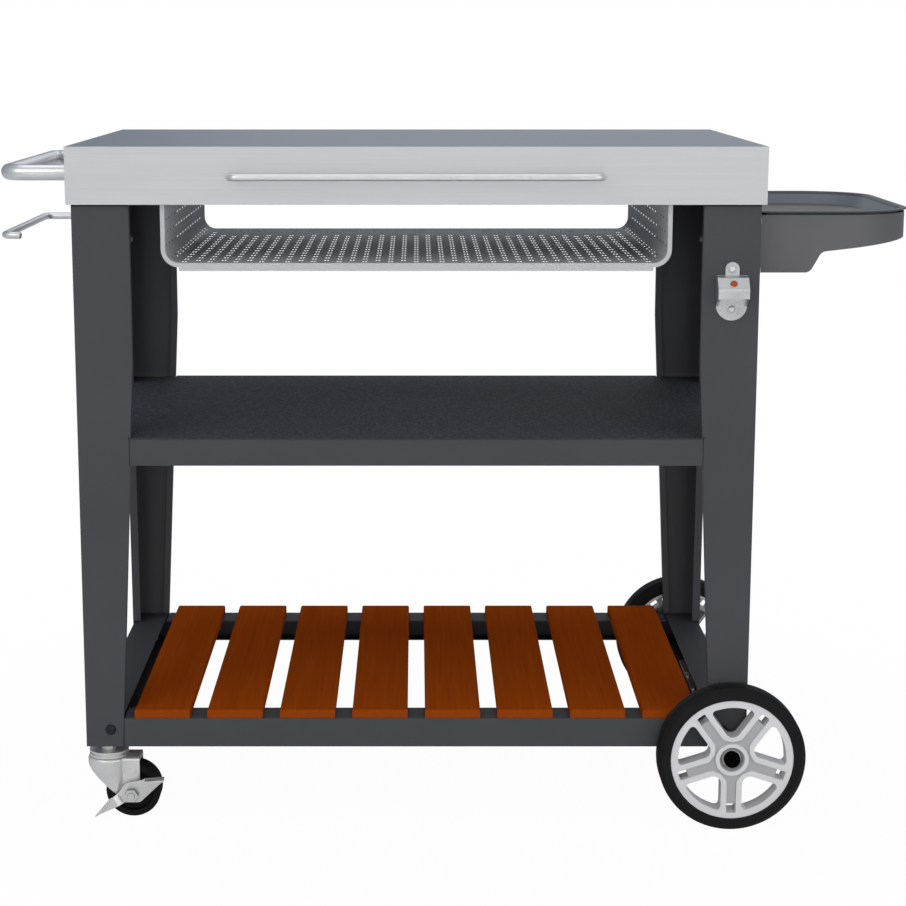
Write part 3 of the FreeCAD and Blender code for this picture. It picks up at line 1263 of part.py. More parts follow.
def bolt(name, way, facing, x, y, z, grip, nut=True, size="bolt"):
    """A dome-headed bolt or screw. x, y, z is the point under its head, which looks along
    the axis way, in the direction facing, 1 or -1. The nut sits where the grip ends."""
    radius, head, height = f"{size}_radius", f"{size}_head_radius", f"{size}_head_height"
    tail = f"({grip} + hex_height + bolt_stick_out)" if nut else f"({grip})"
    made = body(name + "_turned")
    revolve(made, name + "_section",
            [("0", f"-{tail}"), (radius, f"-{tail}"), (radius, "0"), (head, "0"), (head, f"{height} * 0.4"),
             (f"{head} * 0.55", height), ("0", height)],
            [None, None, None, None, f"{height} * 0.5", None, None])
    turn = TURNS[way] if facing > 0 else FreeCAD.Rotation(TURNS[way]).multiply(
        FreeCAD.Rotation(FreeCAD.Vector(1, 0, 0), 180))
    at(made, x, y, z, turn)
    if not nut:
        return made
    ends = {"x": x, "y": y, "z": z}
    start = ends[way]
    far, near = f"{start} - {facing} * ({grip} + hex_height)", f"{start} - {facing} * ({grip})"
    ends[way] = (far, near) if facing > 0 else (near, far)
    hexagon = prism(name + "_nut", "hex_flats", way, ends["x"], ends["y"], ends["z"])
    return join(name + "_with_nut", [made, hexagon])


def fasteners():
    frame, side_bolts, slats, trays, brackets, skirts = [], [], [], [], [], []
    for side in (-1, 1):
        outer_x = f"centre + {side} * leg_x_flat"
        for end in (-1, 1):
            tag = f"{(side + 1) // 2}{(end + 1) // 2}"
            frame.append(bolt(f"frame_bolt_{tag}", "y", end, f"centre + {side} * frame_bolt_x",
                              f"{end} * leg_y_flat", "frame_bolt_height", "leg_sheet + rail_sheet"))
            for use, place_y, height, grip in (
                    ("rail", "rail_bolt_y", "rail_bolt_height", "leg_sheet + rail_sheet"),
                    ("shelf", "shelf_bolt_y", "shelf_bolt_height", "leg_sheet + shelf_sheet"),
                    ("top", "shelf_bolt_y", "top_bolt_height", "leg_sheet + rail_sheet")):
                size = "top_bolt" if use == "top" else "bolt"
                frame.append(bolt(f"{use}_bolt_{tag}", "x", side, outer_x, f"{end} * {place_y}", height, grip,
                                  size=size))
            trays.append(bolt(f"tray_screw_{tag}", "z", -1, f"centre + {side} * tray_screw_x",
                              f"{end} * tray_screw_y", "stiffener_low - tray_sheet",
                              "tray_sheet + stiffener_sheet + bolt_stick_out", nut=False, size="screw"))
            brackets.append(bolt(f"bracket_screw_{tag}", "z", -1, f"axle_x + {side} * bracket_foot_offset",
                                 f"{end} * bracket_screw_y", "leg_foot - bracket_sheet",
                                 "2 * bracket_sheet + rail_sheet + bolt_stick_out", nut=False, size="screw"))
            if side > 0 or end > 0:
                plate = "bin_plate_sheet" if side > 0 else "holder_plate_sheet"
                for level in ("low", "high"):
                    side_bolts.append(bolt(f"side_bolt_{tag}_{level}", "x", side,
                                           f"centre + {side} * (leg_x_flat + {plate})",
                                           f"{end} * side_bolt_y",
                                           f"side_bolt_{level}", f"leg_sheet + {plate}"))
    for end in (-1, 1):
        tag = (end + 1) // 2
        skirts.append(bolt(f"bar_screw_{tag}", "y", 1, f"centre + {end} * bar_span / 2",
                           "-(worktop_depth / 2 - worktop_sheet)", "cart_height - bar_drop",
                           "worktop_sheet", nut=False, size="screw"))
        skirts.append(bolt(f"handle_screw_{tag}", "x", 1, "centre - (worktop_width / 2 - worktop_sheet)",
                           f"{end} * handle_spread / 2", "cart_height - handle_drop",
                           "worktop_sheet + handle_thread", nut=False, size="bolt"))
        for count in range(slat_total):
            slats.append(bolt(f"slat_screw_{tag}_{count}", "z", -1, slat_x(count), f"{end} * slat_screw_y",
                              "rail_top - rail_sheet", "rail_sheet + slat_screw_depth", nut=False,
                              size="screw"))
    middle = "centre + leg_x_flat - opener_inset"
    openers = [bolt(f"opener_screw_{count}", "y", -1, middle, "-(leg_y_flat + opener_sheet)", level,
                    "opener_sheet", nut=False, size="screw")
               for count, level in enumerate(("opener_top - opener_tab", "opener_foot_screw"))]
    group("frame_bolts", frame)
    group("side_mount_bolts", side_bolts)
    group("slat_screws", slats)
    group("tray_screws", trays)
    group("bracket_screws", brackets)
    group("skirt_screws", skirts)
    group("opener_screws", openers)


PLACES.update({
    "frame_bolt_x": "(leg_x_flat - frame_bolt_inset)",
    "rail_bolt_y": "(leg_y_flat - rail_bolt_inset)",
    "rail_bolt_height": "(leg_foot + rail_height / 2)",
    "shelf_bolt_y": "(leg_y_flat - side_bolt_inset)",
    "shelf_bolt_height": "(shelf_height - shelf_skirt / 2)",
    "top_rail_low": "(worktop_back - top_rail_height)",
    "top_bolt_height": "(worktop_back - top_rail_height / 2)",
    "stiffener_low": "(worktop_back - stiffener_height)",
    "tray_screw_x": "(tray_width / 2 + joint_line + stiffener_width / 2)",
    "tray_screw_y": "(tray_depth / 2 - tray_ear)",
    "shelf_share": "((shelf_height - leg_foot) / (leg_taper_start - leg_foot))",
    "shelf_leg_width": "(leg_foot_width + (leg_width - leg_foot_width) * shelf_share)",
    "shelf_lip_y": "(leg_y_flat - leg_foot_depth - (leg_depth - leg_foot_depth) * shelf_share)",
    "opener_top": "(cart_height - opener_drop)",
    "opener_foot_screw": "(opener_top - opener_height + opener_width * 0.36)",
    "bin_face": "(centre + leg_x_flat + bin_plate_sheet)",
    "bin_tip": "(centre + leg_x_flat + bin_reach)",
    "bin_rim_top": "(cart_height - bin_rim_drop)",
    "bin_shell_top": "(bin_rim_top - bin_rim_sheet - bin_shadow_gap)",
    "bin_tray_low": "(bin_rim_top - bin_tray_depth)",
    "bin_floor": "(bin_tray_low - race_gap)",
    "slat_screw_y": "(leg_y_flat - rail_flange / 2)",
    "slat_screw_depth": "(slat_thickness * 0.7)",
    "caster_x": "(centre - (leg_x_flat - caster_inset_side))",
    "caster_y": "(leg_y_flat - caster_inset_end)",
    "shelf_depth": "(2 * (leg_y_flat - shelf_inset))",
    "slat_length": "(2 * (leg_y_flat - slat_end_inset))",
    "slat_pitch": "((2 * (leg_x_flat - slat_margin) - slat_width) / (slat_count - 1))",
    "bin_width": "(2 * (leg_y_flat - bin_inset))",
    "wheel_plane": "(leg_y_flat + wheel_gap + tyre_width / 2)",
    "axle_end": "(wheel_plane + axle_stick_out)",
    "axle_cap_end": "(wheel_plane + axle_cap_stick_out)",
    "axle_x": "(centre + leg_x_flat - axle_inset)",
    "rim_face": "(rim_width / 2 + rim_lip - joint_line)",
    "valley": "(rim_face - valley_drop)",
    "bead_half": "(tyre_width / 2 - tyre_shoulder / 2)",
    "hub_half": "(hub_length / 2)",
    "hub_floor": "(hub_length / 2 - hub_recess_depth)",
    "race_low": "(leg_foot - race_height)",
    "crown_top": "(race_low - race_gap)",
    "fork_half": "(caster_wheel_width / 2 + caster_side_gap + fork_sheet)",
    "lever_near": "(fork_crown_radius + lever_gap)",
    "lever_far": "(lever_near + lever_sheet)",
    "nut_near": "(lever_far + race_gap)",
    "wheel_bore": "(axle_radius + running_gap)",
    "caster_bore": "(caster_bolt_radius + running_gap)",
    "bracket_screw_y": "(bracket_start + bracket_screw_inset)",
})
slat_total = int(value("slat_count"))
tread_grooves = int(value("tread_groove_count"))

worktop()
for side, side_name in ((-1, "left"), (1, "right")):
    for end, end_name in ((-1, "front"), (1, "rear")):
        leg(f"leg_{end_name}_{side_name}", side, end)
    top_rail(f"top_rail_{side_name}", side)
    stiffener(f"stiffener_{side_name}", side)
    side_rail(f"bottom_rail_{side_name}", side)
shelf()
end_rail("bottom_rail_front", -1)
end_rail("bottom_rail_rear", 1)
for number in range(slat_total):
    slat(number)
hanging_tray()
towel_bar()
push_handle()
towel_holder()
bin_plate()
bin_shell()
bin_tray()
bottle_opener()
axle()
for end, end_name in ((-1, "front"), (1, "rear")):
    tyre(f"wheel_{end_name}_tyre", end)
    rim(f"wheel_{end_name}_rim", end)
    bush(f"wheel_{end_name}_bush", end)
    axle_bracket(f"axle_bracket_{end_name}", end)
    caster(f"caster_{end_name}", end)
fasteners()

doc.recompute()
for thing in doc.Objects:
    if "Invalid" in thing.State or "Error" in thing.State:
        raise RuntimeError(f"{thing.Name} failed: {thing.State}")
for node in nodes:
    if node.Shape.isNull() or not node.Shape.isValid():
        raise RuntimeError(f"{node.Label} has no valid shape")
os.makedirs("parts", exist_ok=True)
for node in nodes:
    node.Shape.exportStep(f"parts/{node.Label}.step")
    print(node.Label, len(node.Shape.Solids), round(node.Shape.Volume / 1000, 1))
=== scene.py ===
import json
import math

import bmesh
import bpy
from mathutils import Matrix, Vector


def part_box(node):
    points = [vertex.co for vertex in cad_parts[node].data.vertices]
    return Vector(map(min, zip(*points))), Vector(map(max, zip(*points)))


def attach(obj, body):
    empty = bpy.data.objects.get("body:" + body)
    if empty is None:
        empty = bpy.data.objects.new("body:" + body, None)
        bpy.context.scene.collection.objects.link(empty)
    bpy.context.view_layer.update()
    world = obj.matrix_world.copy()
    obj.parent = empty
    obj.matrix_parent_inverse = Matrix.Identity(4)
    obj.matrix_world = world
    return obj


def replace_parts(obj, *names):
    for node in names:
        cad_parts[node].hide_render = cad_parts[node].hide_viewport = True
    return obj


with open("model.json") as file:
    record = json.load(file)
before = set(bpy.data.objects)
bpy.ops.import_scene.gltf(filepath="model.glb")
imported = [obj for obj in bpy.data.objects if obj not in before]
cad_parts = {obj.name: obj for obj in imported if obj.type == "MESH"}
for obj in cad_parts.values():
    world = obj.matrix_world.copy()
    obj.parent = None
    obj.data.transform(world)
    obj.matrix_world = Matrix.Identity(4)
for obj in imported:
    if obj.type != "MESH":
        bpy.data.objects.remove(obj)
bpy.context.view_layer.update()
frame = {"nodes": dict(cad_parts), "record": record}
nodes = frame["nodes"]

# The worktop's box and the x of its centre, in metres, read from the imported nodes
TOP_LOW, TOP_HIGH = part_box("worktop_panel")
CENTRE = (TOP_LOW.x + TOP_HIGH.x) / 2

# How much of a surface's normal has to point up, or forward or back, for the shaders to count it so
UPWARD = 0.7


# Materials

class Shader:
    """A material's node tree with short calls for the nodes that the surfaces share."""

    def __init__(self, name):
        self.material = bpy.data.materials.new(name)
        self.material.use_nodes = True
        self.tree = self.material.node_tree
        self.surface = next(n for n in self.tree.nodes if n.type == "BSDF_PRINCIPLED")
        self.place = self.add("ShaderNodeTexCoord").outputs["Object"]
        self.height = None

    def add(self, kind, **settings):
        node = self.tree.nodes.new(kind)
        for key, setting in settings.items():
            setattr(node, key, setting)
        return node

    def plug(self, source, target):
        if hasattr(source, "node"):
            self.tree.links.new(source, target)
        else:
            target.default_value = source

    def set(self, socket, source):
        self.plug(source, self.surface.inputs[socket])

    def math(self, operation, first, second=0.0, third=0.0, clamp=False):
        """A sum, product or comparison of sockets and numbers."""
        node = self.add("ShaderNodeMath", operation=operation, use_clamp=clamp)
        for socket, source in zip(node.inputs, (first, second, third)):
            self.plug(source, socket)
        return node.outputs[0]

    def scaled(self, scale):
        node = self.add("ShaderNodeMapping")
        self.plug(self.place, node.inputs["Vector"])
        node.inputs["Scale"].default_value = scale
        return node.outputs[0]

    def noise(self, scale, detail=3.0, rough=0.5, stretch=None, distort=0.0):
        node = self.add("ShaderNodeTexNoise")
        self.plug(self.scaled(stretch) if stretch else self.place, node.inputs["Vector"])
        numbers = {"Scale": scale, "Detail": detail, "Roughness": rough, "Distortion": distort}
        for socket, number in numbers.items():
            node.inputs[socket].default_value = number
        return node.outputs["Fac"]

    def ramp(self, source, *stops):
        """A run of colours or greys, each given with its spot from 0 to 1."""
        node = self.add("ShaderNodeValToRGB")
        self.plug(source, node.inputs["Fac"])
        bar = node.color_ramp.elements
        while len(bar) < len(stops):
            bar.new(0.5)
        for element, (spot, colour) in zip(bar, stops):
            element.position = spot
            element.color = (*colour, 1) if hasattr(colour, "__len__") else (colour, colour, colour, 1)
        return node.outputs["Color"]

    def mix(self, share, first, second, blend="MIX"):
        node = self.add("ShaderNodeMix", data_type="RGBA", blend_type=blend)
        self.plug(share, node.inputs["Factor"])
        for socket, source in ((node.inputs[6], first), (node.inputs[7], second)):
            if not hasattr(source, "node"):
                source = (*source, 1) if len(source) == 3 else source
            self.plug(source, socket)
        return node.outputs[2]

    def xyz(self, source=None):
        node = self.add("ShaderNodeSeparateXYZ")
        self.plug(source or self.place, node.inputs[0])
        return node.outputs

    def facing(self):
        """The parts of the normal along the scene's axes."""
        return self.xyz(self.add("ShaderNodeNewGeometry").outputs["Normal"])

    def along_axle(self):
        """How much of the normal lies along the piece's own Y, whichever way a joint has turned it."""
        return self.math("ABSOLUTE", self.xyz(self.add("ShaderNodeTexCoord").outputs["Normal"])[1])

    def bump(self, source, strength, distance):
        """Fine relief, on top of the relief that is already there."""
        node = self.add("ShaderNodeBump")
        node.inputs["Strength"].default_value = strength
        node.inputs["Distance"].default_value = distance
        self.plug(source, node.inputs["Height"])
        if self.height is not None:
            self.plug(self.height, node.inputs["Normal"])
        self.height = node.outputs[0]
        self.set("Normal", self.height)

    def finish(self, metal, rough, **more):
        """Sets what is left and gives the material back."""
        self.set("Metallic", metal)
        self.set("Roughness", rough)
        for socket, number in more.items():
            self.set(socket.replace("_", " "), number)
        return self.material


def srgb(red, green, blue):
    """A colour written in 0 to 255 screen values, as linear light."""
    return tuple(c / 12.92 if c <= 0.04045 else ((c + 0.055) / 1.055) ** 2.4
                 for c in (red / 255, green / 255, blue / 255))


def tones(shader, colour, spread, scale=9.0, detail=4.0, stretch=None):
    """A colour that drifts a little over the surface."""
    dark = tuple(c * (1 - spread) for c in colour)
    light = tuple(c * (1 + spread) for c in colour)
    return shader.ramp(shader.noise(scale, detail, stretch=stretch), (0.35, dark), (0.65, light))


def worktop_steel():
    """Brushed along its length on the skirt, and fine-grained on the top, whose darker, bluer colour is painted
    reflection.
    """
    s = Shader("worktop_steel")
    up = s.math("GREATER_THAN", s.facing()[2], UPWARD)
    brushed = s.noise(1.0, 6.0, 0.65, stretch=(5, 5, 900))
    skirt = s.ramp(brushed, (0.3, srgb(185, 186, 188)), (0.7, srgb(193, 194, 196)))
    grain = s.noise(900, 2.0, 0.6)
    # Painted reflection: the top is the same steel as the skirt, coloured darker and bluer as it looks when it
    # mirrors the dim blue-grey sky behind
    top = s.ramp(grain, (0.38, srgb(118, 125, 134)), (0.62, srgb(130, 137, 146)))
    s.set("Base Color", s.mix(up, skirt, top))
    s.bump(brushed, 0.03, 0.0002)
    s.bump(grain, 0.06, 0.0001)
    rough = s.math("MULTIPLY_ADD", up, 0.18, 0.34)
    return s.finish(s.math("MULTIPLY_ADD", up, -0.38, 0.5), rough)


def powder_coat(name, colour, rough=0.6, shadow_line_from=None, speckled=None):
    """Satin dark paint, with a painted black shadow band above a height, or a speckled coat on faces that look
    up.
    """
    s = Shader(name)
    base = tones(s, colour, 0.04)
    if speckled:
        grain = s.noise(1.0, 3.0, 0.75, stretch=(330, 130, 330))
        coat = s.ramp(grain, (0.32, tuple(c * 0.6 for c in speckled)), (0.5, speckled),
                      (0.7, tuple(c * 2.0 for c in speckled)))
        base = s.mix(s.math("GREATER_THAN", s.facing()[2], UPWARD), base, coat)
    # Painted shadow: above this height the paint turns black, for the shade in the gap where the legs go up
    # under the worktop's skirt
    if shadow_line_from:
        base = s.mix(s.math("GREATER_THAN", s.xyz()[2], shadow_line_from), base, srgb(4, 4, 5))
    s.set("Base Color", base)
    s.bump(s.noise(420, 2.0), 0.08, 0.0002)
    return s.finish(0.0, rough, Specular_IOR_Level=0.1 if speckled else 0.25)


def plated(name, colour, rough=0.3, metal=0.9, spread=0.08):
    """Bare or plated metal with a fine grain."""
    s = Shader(name)
    s.set("Base Color", tones(s, colour, spread, 25))
    s.bump(s.noise(600, 3.0, 0.6), 0.04, 0.0001)
    return s.finish(metal, s.ramp(s.noise(40, 4.0), (0.3, rough - 0.05), (0.7, rough + 0.07)))


def moulded(name, colour, rough, shine=0.5):
    """Moulded plastic or enamel."""
    s = Shader(name)
    s.set("Base Color", tones(s, colour, 0.07))
    s.bump(s.noise(700, 3.0), 0.1, 0.0002)
    return s.finish(0.0, s.ramp(s.noise(25, 3.0), (0.3, rough - 0.05), (0.7, rough + 0.06)),
                    Specular_IOR_Level=shine)


def hex_bolt_painted_shade():
    """The casters' axle bolts: plated, with painted shade that makes the flats round the head and nut darker
    than the end faces.
    """
    s = Shader("hex_bolt_painted_shade")
    # Painted shade: the flats are coloured dark and the end faces light, so the bolt reads as a lit face with
    # shaded sides
    face = s.math("GREATER_THAN", s.along_axle(), 0.9)
    s.set("Base Color", s.mix(face, srgb(112, 112, 112), srgb(196, 196, 195)))
    s.bump(s.noise(600, 3.0, 0.6), 0.04, 0.0001)
    return s.finish(0.5, 0.35)


def slat_wood():
    """Oiled red-brown boards whose grain runs from front to back, with the tops painted brighter against their
    shade and the ends painted darker against their light.
    """
    s = Shader("slat_wood")
    grain = s.noise(1.0, 7.0, 0.65, stretch=(260, 6, 260), distort=0.4)
    broad = s.noise(1.0, 4.0, 0.6, stretch=(45, 1.6, 45), distort=0.6)
    # Painted light: the tops' colours are brighter than the wood, to make up for the shade they sit in under
    # the shelf
    colour = s.ramp(grain, (0.25, srgb(143, 61, 13)), (0.5, srgb(156, 68, 15)), (0.8, srgb(168, 75, 18)))
    colour = s.mix(s.ramp(broad, (0.35, 0.0), (0.7, 0.45)), colour, srgb(141, 60, 12))
    # Painted shade: the end faces catch more light, so they are coloured darker than the tops to offset it
    painted_light_ends = s.math("GREATER_THAN", s.math("ABSOLUTE", s.facing()[1]), 0.6)
    s.set("Base Color", s.mix(s.math("MULTIPLY", painted_light_ends, 0.6), colour, srgb(108, 45, 10)))
    s.bump(grain, 0.15, 0.0003)
    return s.finish(0.0, s.ramp(broad, (0.3, 0.7), (0.7, 0.8)), Specular_IOR_Level=0.0)


def rubber(name, colour, tread=None):
    """Black rubber, with fine bright lines of painted highlight round the tread when their pitch is given."""
    s = Shader(name)
    base = tones(s, colour, 0.12, 14)
    if tread:
        # Painted highlight: thin lighter stripes round the tread stand in for light caught on the edges of fine
        # grooves
        wave = s.math("SINE", s.math("MULTIPLY", s.xyz()[1], math.tau / tread))
        outside = s.math("LESS_THAN", s.along_axle(), 0.5)
        painted_groove_highlight = s.math("MULTIPLY", s.ramp(wave, (0.55, 0.0), (0.9, 1.0)), outside)
        base = s.mix(painted_groove_highlight, base, srgb(58, 58, 61))
    s.set("Base Color", base)
    s.bump(s.noise(900, 3.0), 0.15, 0.0003)
    return s.finish(0.0, s.ramp(s.noise(40, 3.0), (0.3, 0.52), (0.7, 0.66)), Specular_IOR_Level=0.14)


def tray_steel():
    """Perforated sheet with painted light and shade: light grey at the front and darker blue-grey towards the
    back, and light on the lips and other faces that look forward or back.
    """
    s = Shader("tray_steel")
    # Painted light: faces that look forward or back, such as the lips, are coloured light grey
    painted_light_ends = s.math("GREATER_THAN", s.math("ABSOLUTE", s.facing()[1]), UPWARD)
    # Painted shade and reflection: the sheet runs from light grey at the front to a darker blue-grey at the
    # back, deeper under the worktop
    painted_shade_toward_back = s.math("MULTIPLY_ADD", s.xyz()[1], 1.85, 0.5, clamp=True)
    sheet = s.mix(painted_shade_toward_back, srgb(204, 203, 204), srgb(98, 104, 111))
    s.set("Base Color", s.mix(painted_light_ends, sheet, srgb(172, 173, 174)))
    lines = s.noise(1.0, 5.0, 0.6, stretch=(8, 700, 700))
    s.bump(lines, 0.04, 0.0001)
    return s.finish(0.3, s.ramp(s.noise(40, 4.0), (0.3, 0.42), (0.7, 0.5)), Specular_IOR_Level=0.2)


def rim_paint():
    """Silver plastic, with painted highlight on the raised ring, spokes and hub and on the side walls, and
    painted shade that leaves the valleys between greyer.
    """
    s = Shader("rim_paint")
    low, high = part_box("wheel_front_rim")
    middle, half = -(low.y + high.y) / 2, (high.y - low.y) / 2
    away = s.math("ABSOLUTE", s.math("SUBTRACT", s.math("ABSOLUTE", s.xyz()[1]), middle))
    # Painted highlight and shade: the raised ring, spokes and hub are coloured lighter than the valleys between
    raised_painted_highlight = s.ramp(s.math("DIVIDE", away, half), (0.86, 0.0), (0.95, 1.0))
    # Painted highlight: the walls between the levels, which face sideways, are coloured lighter still
    wall_painted_light = s.math("LESS_THAN", s.along_axle(), 0.4)
    flat = s.mix(raised_painted_highlight, srgb(164, 164, 166), srgb(204, 204, 205))
    s.set("Base Color", s.mix(wall_painted_light, flat, srgb(222, 221, 221)))
    s.bump(s.noise(500, 3.0), 0.04, 0.0002)
    return s.finish(0.35, s.ramp(s.noise(40, 3.0), (0.3, 0.34), (0.7, 0.4)))


def bin_tray_plastic():
    """Moulding with painted light: blue-grey painted reflection on its walls, a painted dark band on its rim,
    and painted shade that keeps its floor darker than its rim and walls.
    """
    s = Shader("bin_tray_plastic")
    low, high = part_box("bin_tray")
    # Painted shade: the floor, low in the tray, is coloured darker than the walls
    deep = s.math("LESS_THAN", s.xyz()[2], low.z + (high.z - low.z) * 0.3)
    floor = s.math("MULTIPLY", deep, s.math("GREATER_THAN", s.facing()[2], 0.8))
    # Painted shade: a dark band along the top of the rim
    rim = s.math("MULTIPLY", s.math("GREATER_THAN", s.xyz()[2], high.z - 0.004), 0.6)
    # Painted reflection: the walls' blue-grey tone
    wall_painted_light = s.mix(rim, tones(s, srgb(101, 107, 114), 0.05), srgb(30, 32, 36))
    s.set("Base Color", s.mix(floor, wall_painted_light, tones(s, srgb(80, 78, 77), 0.05)))
    s.bump(s.noise(700, 3.0), 0.1, 0.0002)
    return s.finish(0.0, s.ramp(s.noise(25, 3.0), (0.3, 0.42), (0.7, 0.5)), Specular_IOR_Level=0.3)


DARK_GREY = srgb(59, 60, 63)
FINISHES = {
    "worktop_steel": worktop_steel(),
    "frame_paint": powder_coat("frame_paint", DARK_GREY),
    "slat_wood": slat_wood(),
    "tray_steel": tray_steel(),
    "bar_steel": plated("bar_steel", srgb(222, 222, 222), 0.32, spread=0.03),
    "bin_plastic": moulded("bin_plastic", srgb(79, 79, 80), 0.38),
    "bin_tray_plastic": bin_tray_plastic(),
    "opener_cast": plated("opener_cast", srgb(200, 200, 200), 0.3),
    "zinc_steel": plated("zinc_steel", srgb(208, 208, 206), 0.32, 0.65),
    "black_steel": plated("black_steel", srgb(22, 22, 23), 0.35, 0.4),
    "black_plastic": moulded("black_plastic", srgb(2, 2, 2), 0.6, 0.02),
    "tyre_rubber": rubber("tyre_rubber", srgb(18, 18, 18), 0.005),
    "rim_paint": rim_paint(),
    "caster_rubber": rubber("caster_rubber", srgb(16, 16, 17)),
}
# Finishes of single nodes and of families, where they differ from the rest of their slot
SHADOW_BAND = 0.0024
HEX_BOLT_PAINTED_SHADE = hex_bolt_painted_shade()
OWN = {
    "caster_front_axle_bolt": HEX_BOLT_PAINTED_SHADE,
    "caster_rear_axle_bolt": HEX_BOLT_PAINTED_SHADE,
    "middle_shelf": powder_coat("shelf_paint", DARK_GREY, 0.7, speckled=srgb(62, 65, 71)),
    # The legs carry a painted black shadow line just under the worktop's skirt
    "leg": powder_coat("leg_paint", DARK_GREY, shadow_line_from=TOP_LOW.z - SHADOW_BAND),
}
SLOTS = {row["node"]: row["material_slot"] for row in frame["record"]["subparts"]}


def finish(piece, material):
    """Gives a piece one material."""
    piece.data.materials.clear()
    piece.data.materials.append(material)


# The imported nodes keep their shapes, and get softened edges and better surfaces.

# Width of the soft edge in metres, by node or by the first word of its name
EDGE = {"leg": 0.0012, "middle": 0.0008, "shelf": 0.0008, "bottom": 0.001, "worktop": 0.0015, "top": 0.001,
        "slat": 0.0005, "bin": 0.0008, "perforated": 0.0006, "paper": 0.003,
        "wheel_front_rim": 0.0011, "wheel_rear_rim": 0.0011}
OTHER_EDGES = 0.0004
SHARP = math.radians(35)
for name, node in nodes.items():
    family = name.split("_")[0]
    finish(node, OWN.get(name) or OWN.get(family) or FINISHES[SLOTS[name]])
    weld = node.modifiers.new("weld", "WELD")
    weld.merge_threshold = 1e-6
    flat = node.modifiers.new("flat", "DECIMATE")
    flat.decimate_type = "DISSOLVE"
    flat.angle_limit = math.radians(0.4)
    soft = node.modifiers.new("edges", "BEVEL")
    soft.width = EDGE.get(name) or EDGE.get(family, OTHER_EDGES)
    soft.segments = 2
    soft.limit_method = "ANGLE"
    soft.angle_limit = SHARP
    soft.use_clamp_overlap = True
    for face in node.data.polygons:
        face.use_smooth = True
    node.data.set_sharp_from_angle(angle=SHARP)
    even = node.modifiers.new("shading", "WEIGHTED_NORMAL")
    even.weight = 100
    even.keep_sharp = True


# The hanging tray, with its holes cut right through

